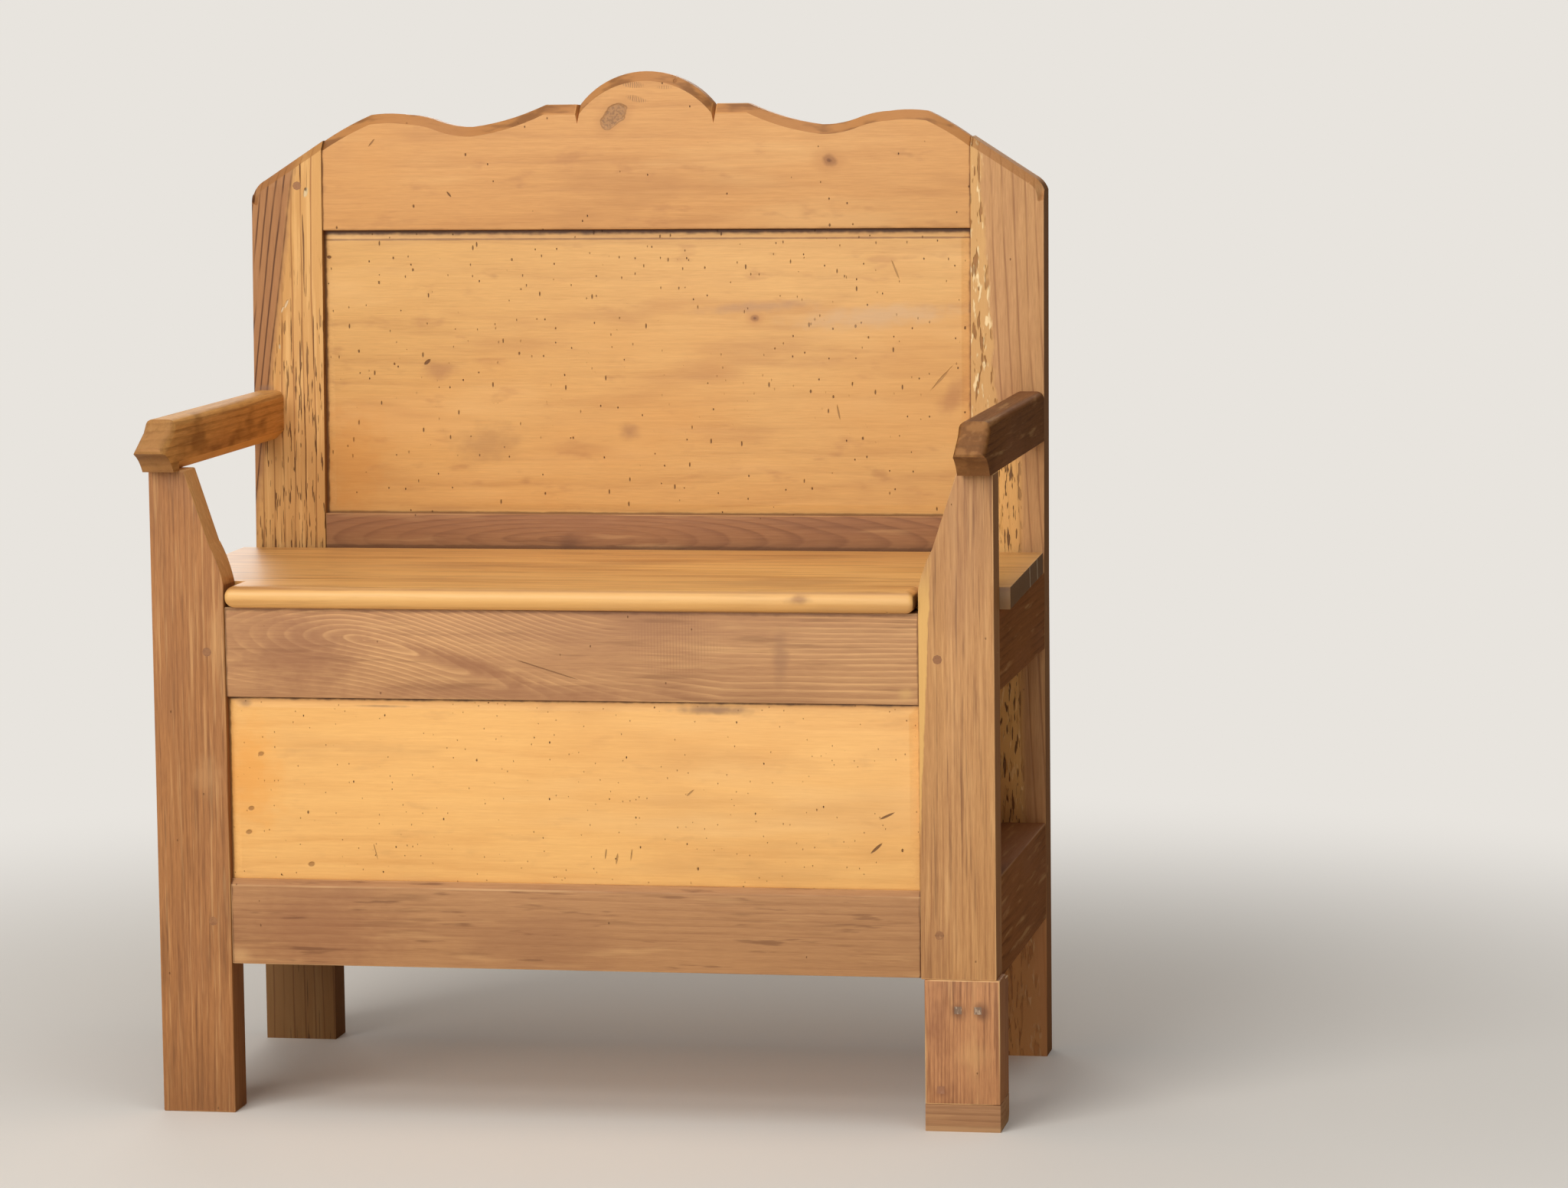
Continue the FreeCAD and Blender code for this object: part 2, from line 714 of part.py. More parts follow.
back_low_rail_low = rail_seam / 2
back_low_rail_high = back_low_rail_low + back_low_rail_height
crest_low = crest_height - kink_height
crest_end = crest_low + crest_end_height
crest_tenon_high = crest_low + crest_tenon_top
leaning_tenons = [(back_low_rail_low + tenon_shoulder, back_low_rail_high - tenon_shoulder),
                  (crest_low + tenon_shoulder, crest_tenon_high)]
chest_rails = [(side_top_rail_low, chest_rail_high), (front_low_rail_gap, front_low_rail_high)]
chest_peg_places = [(post_inner + peg_inset, (low + high) / 2) for low, high in chest_rails]
low_peg_place = (post_inner + peg_inset, (back_low_rail_low + back_low_rail_high) / 2)
crest_peg_place = (post_inner + crest_peg_inset, crest_low + crest_peg_height)
back_kink = kink_height - post_thickness * (back_rake / 2).tan()


def rear_post(name, side):
    """A rear post sawn with a kink, its top sloping down to a worn outer corner."""
    body = new_body(name)
    top = post_top_reach + top_bevel_height
    outline = [(post_face, 0), (post_back, 0), (post_back, back_kink),
               lean(post_thickness, top), lean(0, top), (post_face, kink_height)]
    inner, outer = spread(side, post_inner, half_width)
    pad(body, "side", outline, inner, outer)
    waste_inner = post_inner - tenon_root
    waste_outer = half_width + tenon_root
    waste_top = post_top_inner + post_width
    round_low = post_top_outer - post_top_round
    slope = [(waste_inner, post_top_inner),
             (half_width - post_top_round, post_top_outer + post_top_lift, -post_top_bow),
             (half_width, round_low), (waste_outer, round_low), (waste_outer, waste_top),
             (waste_inner, waste_top)]
    sloped = cut(body, "front", both_ways(slope, side), post_face - post_width, post_back + post_width)
    front_line = lean(0, 0)

    def on_front_top(edge):
        box = edge.BoundBox
        middle = edge.valueAt((edge.FirstParameter + edge.LastParameter) / 2)
        plumb = (middle.y - front_line[0].value) - (middle.z - kink_height.value) * back_rake.tan().value
        high_enough = box.ZMin > (post_top_outer - post_top_round).value - 2
        return abs(plumb) < 0.3 and high_enough and box.XLength > 1

    dress(body, "Chamfer", sloped, edges_where(sloped, on_front_top), post_bevel)
    low, high = spread(side, post_inner, post_inner + tenon_length + mortise_spare)
    near = rail_setback + tenon_inset
    far = near + tenon_thickness
    for rail_low, rail_high in leaning_tenons:
        cut(body, "leaning", rectangle(low, rail_low, high, rail_high), near, far)
    for rail_low, rail_high in chest_rails:
        cut(body, "side", rectangle(post_face + near, rail_low + tenon_shoulder,
                                    post_face + far, rail_high - tenon_shoulder), low, high)
    low, high = spread(side, post_inner, post_inner + groove_depth)
    cut(body, "leaning", rectangle(low, back_low_rail_high - tenon_shoulder, high, crest_low + tenon_shoulder),
        near, far)
    cut(body, "side", rectangle(post_face + near, front_low_rail_high - tenon_shoulder,
                                post_face + far, side_top_rail_low + tenon_shoulder), low, high)
    cut_side_mortises(body, side, post_face, post_face + side_tenon_length + mortise_spare)
    bore_side_pegs(body, side, post_face + side_tenon_length / 2)
    low, high = spread(side, arm_tenon_inner, arm_tenon_inner + arm_tenon_width)
    cut(body, "front", rectangle(low, arm_tenon_low, high, arm_tenon_high),
        post_face, post_face + arm_tenon_length + arm_lean + mortise_spare)
    bore(body, "front", [(place * side, height) for place, height in chest_peg_places], peg_hole,
         post_face + near - peg_end_cover, post_back)
    bore(body, "leaning", [(low_peg_place[0] * side, low_peg_place[1])], peg_hole,
         near - peg_end_cover, post_thickness)
    crest_hole = (near - peg_end_cover, post_thickness) if side > 0 else (0, far + peg_end_cover)
    bore(body, "leaning", [(crest_peg_place[0] * side, crest_peg_place[1])], peg_hole, *crest_hole)
    return body


rear_post("rear_post_left", -1)
rear_post("rear_post_right", 1)
rail("back_low_rail", rail_setback, back_low_rail_low, back_low_rail_high, post_inner, ("high",), set_in_back)
panel("back_panel", rail_setback, back_low_rail_high, crest_low, post_inner, set_in_back)
rail("chest_back_top_rail", back_rail_face, *chest_rails[0], post_inner, ("low",))
rail("chest_back_low_rail", back_rail_face, *chest_rails[1], post_inner, ("high",))
panel("chest_back_panel", back_rail_face, front_low_rail_high, side_top_rail_low, post_inner)


def crest_outline(drop):
    """The cut top of the crest: an end hump, a cove and a notched shoulder on each side of an arch."""
    def across(side, place):
        return crest_shift + place * side

    def top(height):
        return crest_low + height - drop

    hump_outer = hump_place + hump_half_width
    hump_inner = hump_place - hump_half_width
    outline = [(-post_inner, crest_low), (post_inner, crest_low)]
    outline += [(post_inner, crest_end - drop, hump_bow)]
    outline += [(across(1, hump_outer), top(hump_height), hump_bow)]
    outline += [(across(1, hump_inner), top(hump_height), slope_bow)]
    outline += [(across(1, turn_place), top(turn_height), -slope_bow)]
    outline += [(across(1, cove_place), top(cove_height), -cove_bow)]
    outline += [(across(1, shoulder_outer), top(shoulder_height))]
    outline += [(across(1, notch_outer), top(shoulder_height))]
    outline += [(across(1, notch_place), top(notch_height))]
    outline += [(across(1, arch_half_width), top(arch_foot_height), arch_top_height - arch_foot_height)]
    outline += [(across(-1, arch_half_width), top(arch_foot_height))]
    outline += [(across(-1, notch_place), top(notch_height))]
    outline += [(across(-1, notch_outer), top(shoulder_height))]
    outline += [(across(-1, shoulder_outer), top(shoulder_height), -cove_bow)]
    outline += [(across(-1, cove_place), top(cove_height), -slope_bow)]
    outline += [(across(-1, turn_place), top(turn_height), slope_bow)]
    outline += [(across(-1, hump_inner), top(hump_height), hump_bow)]
    outline += [(across(-1, hump_outer), top(hump_height), hump_bow)]
    outline += [(-post_inner, crest_end - drop)]
    return outline


def crest_rail():
    """The top rail of the back, its cut edge bevelled along the front."""
    body = new_body("crest_rail", set_in_back)
    bevel_back = rail_setback + top_bevel_depth
    pad(body, "front", crest_outline(sized(0)), bevel_back, rail_setback + crest_thickness)
    loft(body, "front", crest_outline(sized(0)), bevel_back, crest_outline(top_bevel_height), rail_setback)
    near = rail_setback + tenon_inset
    far = near + tenon_thickness
    cut(body, "side", rectangle(near, crest_low, far, crest_low + groove_depth), -post_inner, post_inner)
    for side in (-1, 1):
        start, finish = spread(side, post_inner - tenon_root, post_inner + tenon_length)
        pad(body, "side", rectangle(near, crest_low + tenon_shoulder, far, crest_tenon_high), start, finish)
    pegs = [(crest_peg_place[0] * side, crest_peg_place[1]) for side in (-1, 1)]
    bore(body, "front", pegs, peg_hole, near, far)
    return body


crest_rail()


# Pegs that lock the tenons

def front_pegs():
    """Four pegs whose ends show on the front of the legs."""
    pegs = []
    for side in (-1, 1):
        for low, high in front_rails:
            start = ((leg_inner + peg_inset) * side, front_face, (low + high) / 2)
            pegs.append(peg("front_peg", peg_radius, front_tenon_far + peg_end_cover - peg_end_gap - front_face,
                            start, "y"))
    return group("front_pegs", pegs)


def side_pegs():
    """Pegs driven inwards from the outer sides through the tenons of the side rails."""
    pegs = []
    length = half_width - side_tenon_inner + peg_end_cover - peg_end_gap
    for side in (-1, 1):
        start = half_width - length if side > 0 else -half_width
        for place in (leg_back - side_tenon_length / 2, post_face + side_tenon_length / 2):
            for low, high in side_rails:
                pegs.append(peg("side_peg", peg_radius, length, (start, place, (low + high) / 2), "x"))
    return group("side_pegs", pegs)


def back_pegs():
    """Pegs of the chest's back rails, driven from the back."""
    near = back_rail_face + tenon_inset - peg_end_cover + peg_end_gap
    pegs = []
    for side in (-1, 1):
        for place, height in chest_peg_places:
            pegs.append(peg("chest_peg", peg_radius, post_back - near, (place * side, near, height), "y"))
    return group("back_pegs", pegs)


def leaning_pegs():
    """Pegs of the leaning back, where the left crest peg alone was driven from the front."""
    near = rail_setback + tenon_inset - peg_end_cover + peg_end_gap
    far = rail_setback + tenon_inset + tenon_thickness + peg_end_cover - peg_end_gap
    from_back = post_thickness - near
    pegs = [peg("leaning_peg", peg_radius, far, (-crest_peg_place[0], 0, crest_peg_place[1]), "y"),
            peg("leaning_peg", peg_radius, from_back, (crest_peg_place[0], near, crest_peg_place[1]), "y")]
    for side in (-1, 1):
        pegs.append(peg("leaning_peg", peg_radius, from_back, (low_peg_place[0] * side, near, low_peg_place[1]),
                        "y"))
    bundle = group("leaning_pegs", pegs)
    set_in_back(bundle)
    return bundle


front_pegs()
side_pegs()
back_pegs()
leaning_pegs()


# Sides and floor of the chest

side_names = {-1: "left", 1: "right"}
nail_bite = nail_length - side_board_thickness
side_nail_places = [(place, (low + high) / 2) for low, high in side_rails
                    for place in (leg_back + nail_inset, post_face - nail_inset)]


def side_rail(name, side, low, high):
    """A thick side rail, flush outside, with a short tenon into the leg and the post."""
    body = new_body(name)
    inner, outer = spread(side, side_rail_inner, half_width)
    pad(body, "front", rectangle(inner, low, outer, high), leg_back, post_face)
    inner, outer = spread(side, side_tenon_inner, side_tenon_outer)
    ends = ((leg_back - side_tenon_length, leg_back + tenon_root),
            (post_face - tenon_root, post_face + side_tenon_length))
    for start, finish in ends:
        pad(body, "front", rectangle(inner, low + tenon_shoulder, outer, high - tenon_shoulder), start, finish)
    middle = (low + high) / 2
    pegs = [(leg_back - side_tenon_length / 2, middle), (post_face + side_tenon_length / 2, middle)]
    bore(body, "side", pegs, peg_hole, inner, outer)
    places = [entry for entry in side_nail_places if entry[1].text == middle.text]
    bore_nails(body, "side", places, side_rail_inner * side, side, head=False, length=nail_bite)
    return body


def side_board(side):
    """The board that closes the chest's end, nailed to the inner faces of the side rails."""
    body = new_body(f"side_board_{side_names[side]}")
    inner, outer = spread(side, side_board_inner, side_rail_inner)
    pad(body, "front", rectangle(inner, side_low_rail_gap, outer, lid_underside - floor_board_gap),
        leg_back, post_face)
    bore_nails(body, "side", side_nail_places, side_board_inner * side, side, length=side_board_thickness)
    return body


def floor_ledger(name, near, far, reach, nail_side):
    """A strip nailed to a lower rail to carry the ends of the floor boards."""
    body = new_body(name)
    pad(body, "front", rectangle(-reach, floor_height - ledger_height, reach, floor_height), near, far)
    places = [(reach * share, floor_height - ledger_height / 2) for share in (-ledger_nail_share, 0, ledger_nail_share)]
    bore_nails(body, "front", places, near if nail_side > 0 else far, nail_side, length=ledger_width)
    nails(f"{name}_nails", places, near if nail_side > 0 else far, "y", nail_side)
    return places


for side in (-1, 1):
    side_rail(f"side_top_rail_{side_names[side]}", side, *side_rails[0])
    side_rail(f"side_low_rail_{side_names[side]}", side, *side_rails[1])
    side_board(side)
    nails(f"side_board_nails_{side_names[side]}", side_nail_places, side_board_inner * side, "x", side)

front_rail_back = front_rail_face + rail_thickness
ledger_bite = nail_length - ledger_width
places = floor_ledger("floor_ledger_front", front_rail_back, front_rail_back + ledger_width,
                      leg_inner - ledger_end_play, -1)
bore_nails(front_low, "front", places, front_rail_back, -1, head=False, length=ledger_bite)
places = floor_ledger("floor_ledger_back", back_rail_face - ledger_width, back_rail_face,
                      post_inner - ledger_end_play, 1)
bore_nails(doc.getObject("chest_back_low_rail"), "front", places, back_rail_face, head=False,
           length=ledger_bite)

floor_board_width = (side_board_inner * 2 - floor_board_gap * (floor_board_count + 1)) / floor_board_count
for number in range(floor_board_count):
    body = new_body(f"floor_board_{number + 1}")
    left = floor_board_gap - side_board_inner + (floor_board_width + floor_board_gap) * number
    pad(body, "front", rectangle(left, floor_height, left + floor_board_width,
                                 floor_height + floor_board_thickness),
        leg_back + floor_board_gap, post_face - floor_board_gap)


# Arms

def arm(side):
    """An arm with a rounded top, a beak cut at the front and a chamfer under its inner edge."""
    body = new_body(f"arm_{side_names[side]}")
    beak = front_face - knob_reach
    ridge = arm_underside + knob_ridge_rise
    half_ridge = knob_ridge_height / 2

    def post_line(height):
        return post_face + (height - kink_height) * back_rake.tan()

    outline = [(front_face - knob_foot, arm_underside), (post_line(arm_underside), arm_underside),
               (post_line(arm_top), arm_top), (front_face - knob_shoulder + knob_bevel, arm_top),
               (front_face - knob_shoulder, arm_top - knob_bevel), (beak + knob_blunt, ridge + half_ridge),
               (beak, ridge), (beak + knob_blunt, ridge - half_ridge, -knob_hollow)]
    inner, outer = spread(side, arm_inner, half_width)
    bar = pad(body, "side", outline, inner, outer)

    def on_top_sides(edge):
        box = edge.BoundBox
        along = box.XLength < 0.01 and box.YLength > 4
        return along and box.ZMin > (ridge + half_ridge).value - 0.1

    bar = dress(body, "Fillet", bar, edges_where(bar, on_top_sides), arm_round)
    tip = arm_inner * side
    notch = (arm_inner + arm_chamfer) * side
    corner = [(tip, arm_underside), (notch, arm_underside), (tip, arm_underside + arm_chamfer)]
    cut(body, "front", corner, front_face, post_face + arm_lean)
    inner, outer = spread(side, arm_tenon_inner, arm_tenon_inner + arm_tenon_width)
    pad(body, "front", rectangle(inner, arm_tenon_low, outer, arm_tenon_high),
        post_face, post_face + arm_lean + arm_tenon_length)
    inner, outer = spread(side, neck_tenon_inner, neck_tenon_outer)
    cut(body, "top", rectangle(inner, neck_tenon_near, outer, neck_tenon_far),
        arm_underside, arm_underside + neck_tenon_length + mortise_spare)
    return body


for side in (-1, 1):
    arm(side)


# Seat lid and its hinges

hinge_places = [(-hinge_place, "left"), (hinge_place, "right")]
lid_back = post_face - lid_back_gap
batten_near = front_rail_back + batten_end_gap
batten_far = lid_back - batten_end_gap
batten_nail_places = [(batten_place * side, batten_near + nail_inset + (batten_far - batten_near
                       - nail_inset * 2) * share) for side in (-1, 1) for share in (0, 0.5, 1)]
leaf_low = hinge_axis_z - hinge_leaf_reach
leaf_near = hinge_axis_y - hinge_leaf_reach
leaf_clear = knuckle_radius + knuckle_play
screw_across = [place + screw_spread * end for place, side_name in hinge_places for end in (-1, 1)]
lid_screw_places = [(across, hinge_axis_y - screw_reach) for across in screw_across]
rail_screw_places = [(across, hinge_axis_z - screw_reach) for across in screw_across]


def seat_lid():
    """One wide board, let in round the front legs and running out under the arms."""
    body = new_body("seat_lid")
    side_edge = leg_inner - lid_side_play
    nose = front_face - lid_nose_reach
    ear = leg_back + lid_side_play
    outer = half_width + lid_overhang
    outline = [(-side_edge, nose), (side_edge, nose), (side_edge, ear), (outer, ear),
               (outer - lid_right_taper, lid_back), (-outer, lid_back), (lid_left_taper - outer, ear),
               (-side_edge, ear)]
    board = pad(body, "top", outline, lid_underside, seat_height)

    def at_nose_corner(edge):
        box = edge.BoundBox
        return box.ZLength > 1 and box.YMax < nose.value + 0.1

    board = dress(body, "Fillet", board, edges_where(board, at_nose_corner), lid_corner_round)

    def on_nose(edge):
        box = edge.BoundBox
        return box.ZLength < 0.01 and box.XLength > 100 and box.YMax < nose.value + 0.1

    dress(body, "Fillet", board, edges_where(board, on_nose), lid_nose_round)
    bore_nails(body, "top", batten_nail_places, lid_underside, head=False, length=batten_nail_bite)
    bore(body, "top", lid_screw_places, screw_radius + peg_play, lid_underside,
         lid_underside + screw_length - hinge_leaf_thickness)
    return body


def lid_battens():
    for side in (-1, 1):
        body = new_body(f"lid_batten_{side_names[side]}")
        middle = batten_place * side
        low = lid_underside - batten_thickness
        pad(body, "front", rectangle(middle - batten_width / 2, low, middle + batten_width / 2, lid_underside),
            batten_near, batten_far)
        places = batten_nail_places[:3] if side < 0 else batten_nail_places[3:]
        bore_nails(body, "top", places, low, length=batten_thickness)


def hinge_leaf(name, middle, plate, tab_corners, eye_starts, holes):
    """A leaf of a butt hinge: a plate, tabs that run on to its eyes, and the eyes bored for the pin."""
    eye_length = hinge_width / 3 - knuckle_play
    wood_side, waste = [plate], list(holes)
    for start in eye_starts:
        left = middle + start
        low_corner, high_corner = tab_corners
        wood_side.append(block("leaf_tab", (left,) + low_corner, (left + eye_length,) + high_corner))
        corner = (left, hinge_axis_y, hinge_axis_z)
        wood_side.append(rod("leaf_eye", knuckle_radius, eye_length, corner, "x"))
        waste.append(rod("leaf_bore", hinge_pin_radius + hinge_pin_play, eye_length, corner, "x"))
    return subtract(name, fuse("leaf_blank", wood_side), fuse("leaf_waste", waste))


def rail_leaf(middle, side_name):
    """The fixed leaf, on the front of the chest's back top rail."""
    near = back_rail_face - hinge_leaf_thickness
    shoulder = hinge_axis_z - leaf_clear
    plate = block("leaf_plate", (middle - hinge_width / 2, near, leaf_low),
                  (middle + hinge_width / 2, back_rail_face, shoulder))
    holes = [peg("leaf_hole", screw_radius + peg_play, hinge_leaf_thickness, (across, near, height), "y")
             for across, height in rail_screw_places]
    tab = ((near, shoulder - tenon_root), (back_rail_face, hinge_axis_z))
    return hinge_leaf(f"rail_hinge_leaf_{side_name}", middle, plate, tab, (-hinge_width / 2, hinge_width / 6),
                      holes)


def lid_leaf(middle, side_name):
    """The moving leaf, under the lid."""
    low = lid_underside - hinge_leaf_thickness
    shoulder = hinge_axis_y - leaf_clear
    plate = block("leaf_plate", (middle - hinge_width / 2, leaf_near, low),
                  (middle + hinge_width / 2, shoulder, lid_underside))
    holes = [peg("leaf_hole", screw_radius + peg_play, hinge_leaf_thickness, (across, depth, low), "z")
             for across, depth in lid_screw_places]
    tab = ((shoulder - tenon_root, low), (hinge_axis_y, lid_underside))
    return hinge_leaf(f"lid_hinge_leaf_{side_name}", middle, plate, tab, (-hinge_width / 6,), holes)


def screws(name, places, axis, start):
    """Round-headed screws whose heads stand on a leaf that begins at the start place."""
    wholes = []
    for first, second in places:
        pieces = []
        for radius, low, length in ((screw_radius, start, screw_length),
                                    (screw_head_radius, start - screw_head_height, screw_head_height)):
            corner = (first, low, second) if axis == "y" else (first, second, low)
            pieces.append(peg(f"{name}_rod", radius, length, corner, axis))
        wholes.append(fuse(f"{name}_whole", pieces))
    return group(name, wholes)


seat_lid()
lid_battens()
nails("lid_batten_nails", batten_nail_places, lid_underside - batten_thickness, "z",
      length=batten_thickness + batten_nail_bite - peg_end_gap)
for middle, side_name in hinge_places:
    rail_leaf(middle, side_name)
    lid_leaf(middle, side_name)
    rod(f"hinge_pin_{side_name}", hinge_pin_radius, hinge_width,
        (middle - hinge_width / 2, hinge_axis_y, hinge_axis_z), "x")
screws("rail_hinge_screws", rail_screw_places, "y", back_rail_face - hinge_leaf_thickness)
screws("lid_hinge_screws", lid_screw_places, "z", lid_underside - hinge_leaf_thickness)
bore(doc.getObject("chest_back_top_rail"), "front", rail_screw_places, screw_radius + peg_play,
     back_rail_face, back_rail_face + screw_length - hinge_leaf_thickness)

doc.recompute()
used = {part for item in doc.Objects for part in getattr(item, "Links", []) + getattr(item, "Shapes", [])}
used |= {getattr(item, end) for item in doc.Objects if item.TypeId == "Part::Cut" for end in ("Base", "Tool")}
kinds = ("PartDesign::Body", "Part::Compound", "Part::Cut", "Part::Cylinder")
named = [item for item in doc.Objects if item.TypeId in kinds and item not in used]
for item in doc.Objects:
    if any(word in item.State for word in ("Invalid", "Error")):
        raise RuntimeError(f"{item.Label} fails: {item.State}")
for item in named:
    if item.Shape.isNull() or not item.Shape.isValid():
        raise RuntimeError(f"{item.Label} has no valid shape")
    item.Shape.exportStep(f"parts/{item.Label}.step")
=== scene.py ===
import json
import math

import bmesh
import bpy
from mathutils import Matrix, Vector

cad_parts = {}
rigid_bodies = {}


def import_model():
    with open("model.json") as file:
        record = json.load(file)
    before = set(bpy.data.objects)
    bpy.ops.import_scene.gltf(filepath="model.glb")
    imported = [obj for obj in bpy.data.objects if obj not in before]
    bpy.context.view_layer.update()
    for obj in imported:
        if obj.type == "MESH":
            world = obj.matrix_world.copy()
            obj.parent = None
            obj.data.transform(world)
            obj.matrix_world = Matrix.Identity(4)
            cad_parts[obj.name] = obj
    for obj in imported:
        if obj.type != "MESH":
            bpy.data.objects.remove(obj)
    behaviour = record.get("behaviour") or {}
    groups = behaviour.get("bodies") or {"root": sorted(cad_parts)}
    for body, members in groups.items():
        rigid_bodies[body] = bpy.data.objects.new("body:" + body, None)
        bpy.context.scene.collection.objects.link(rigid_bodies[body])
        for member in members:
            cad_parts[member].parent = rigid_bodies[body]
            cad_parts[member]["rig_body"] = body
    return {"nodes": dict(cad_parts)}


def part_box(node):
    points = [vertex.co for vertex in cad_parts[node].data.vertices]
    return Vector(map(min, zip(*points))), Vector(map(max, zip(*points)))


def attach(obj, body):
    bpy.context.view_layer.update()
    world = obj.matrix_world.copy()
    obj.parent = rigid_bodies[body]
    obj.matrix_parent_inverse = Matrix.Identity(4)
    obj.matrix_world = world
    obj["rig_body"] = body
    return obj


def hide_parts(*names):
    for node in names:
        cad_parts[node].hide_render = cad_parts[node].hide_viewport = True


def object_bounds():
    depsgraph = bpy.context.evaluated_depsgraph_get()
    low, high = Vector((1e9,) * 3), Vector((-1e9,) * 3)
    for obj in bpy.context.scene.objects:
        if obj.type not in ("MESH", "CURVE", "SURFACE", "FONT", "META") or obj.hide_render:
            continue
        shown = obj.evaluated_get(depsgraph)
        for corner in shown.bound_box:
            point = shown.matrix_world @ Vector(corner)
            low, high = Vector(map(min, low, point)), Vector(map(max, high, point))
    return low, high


# The dressed model of a small joined settle: old waxed pine panels in a frame of browner wood.
# X runs to the right as seen from the front, Y runs to the back, Z runs up from the floor.

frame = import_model()
solids = frame["nodes"]
cad_low, cad_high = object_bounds()

# Places that the patterns are drawn from, all read from the solids
half_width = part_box("rear_post_right")[1].x
post_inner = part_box("rear_post_right")[0].x
leg_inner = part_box("front_leg_right")[0].x
seat_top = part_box("seat_lid")[1].z
seat_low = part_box("seat_lid")[0].z
seat_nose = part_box("seat_lid")[0].y
crest_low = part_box("crest_rail")[0].z
back_rail_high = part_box("back_low_rail")[1].z
foot_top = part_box("foot_sole")[1].z

# Sizes of the hand work. Lengths are in metres.
MERGE = 0.00002  # corners nearer than this are one corner
FLAT_ANGLE = math.radians(0.4)  # faces that turn by less than this are one flat face
SHARP_ANGLE = math.radians(24)  # an arris that turns by more than this is eased
SHORTEST_ARRIS = 0.012
FACETS = 3  # across an eased arris
SAME_WAY, SAME_PLANE = 0.9999, 0.0001  # how alike two normals and two planes are when they count as one
SMOOTH_ANGLE = math.radians(35)  # a curve turns by less than this from one facet to the next
STOPPED_CHAMFER = 0.014  # how far a post's own top chamfer reaches in from its side
CHAMFER_LOW, CHAMFER_HIGH = 0.85, 0.90  # the heights that it starts between


# Working the wood

def edit(piece):
    """Opens one piece in edit mode with nothing selected."""
    if bpy.context.object and bpy.context.object.mode != "OBJECT":
        bpy.ops.object.mode_set(mode="OBJECT")
    bpy.ops.object.select_all(action="DESELECT")
    piece.select_set(True)
    bpy.context.view_layer.objects.active = piece
    bpy.ops.object.mode_set(mode="EDIT")
    bpy.ops.mesh.select_mode(type="EDGE")
    bpy.ops.mesh.select_all(action="DESELECT")


def close():
    """Leaves edit mode with nothing selected."""
    bpy.ops.object.mode_set(mode="OBJECT")
    bpy.ops.object.select_all(action="DESELECT")


def cut_out(node, name):
    """A merged copy of a solid, with whole flat faces, that stands for it from here on."""
    piece = bpy.data.objects.new(name, solids[node].data.copy())
    bpy.context.scene.collection.objects.link(piece)
    piece.data.materials.clear()
    edit(piece)
    bpy.ops.mesh.select_all(action="SELECT")
    bpy.ops.mesh.customdata_custom_splitnormals_clear()
    bpy.ops.mesh.remove_doubles(threshold=MERGE)
    bpy.ops.mesh.dissolve_limited(angle_limit=FLAT_ANGLE)
    close()
    worn = piece.data.attributes.new("worn", "FLOAT", "FACE")
    worn.data.foreach_set("value", [0.0] * len(piece.data.polygons))
    body = solids[node]["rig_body"]
    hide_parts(node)
    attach(piece, body)
    return piece


def rubbed(start, end):
    """Every outer arris but the small stopped chamfer at the top corner of a post, which is worn already."""
    inside = min(abs(start.x), abs(end.x)) < half_width - STOPPED_CHAMFER
    return inside or not CHAMFER_LOW < start.z < CHAMFER_HIGH


def ease(piece, width):
    """Rounds the rubbed arrises, and marks the faces that this adds as worn."""
    flats = [(face.normal.copy(), face.normal.dot(face.center)) for face in piece.data.polygons]
    edit(piece)
    work = bmesh.from_edit_mesh(piece.data)
    for edge in work.edges:
        if len(edge.link_faces) != 2 or not edge.is_convex:
            continue
        start, end = (corner.co for corner in edge.verts)
        if edge.calc_length() < SHORTEST_ARRIS or edge.calc_face_angle() < SHARP_ANGLE:
            continue
        edge.select_set(rubbed(start, end))
    work.select_flush_mode()
    bmesh.update_edit_mesh(piece.data)
    bpy.ops.mesh.bevel(offset=width, segments=FACETS, affect="EDGES", clamp_overlap=True)
    bpy.ops.mesh.select_mode(type="FACE")
    close()
    worn = piece.data.attributes["worn"].data
    for face in piece.data.polygons:
        place = face.normal.dot(face.center)
        old = any(face.normal.dot(way) > SAME_WAY and abs(place - at) < SAME_PLANE for way, at in flats)
        if face.select and not old:
            worn[face.index].value = 1.0


def smooth(piece):
    """Smooths the curves and keeps the corners."""
    bpy.ops.object.select_all(action="DESELECT")
    piece.select_set(True)
    bpy.context.view_layer.objects.active = piece
    bpy.ops.object.shade_smooth_by_angle(angle=SMOOTH_ANGLE)
    piece.select_set(False)


# Finishes

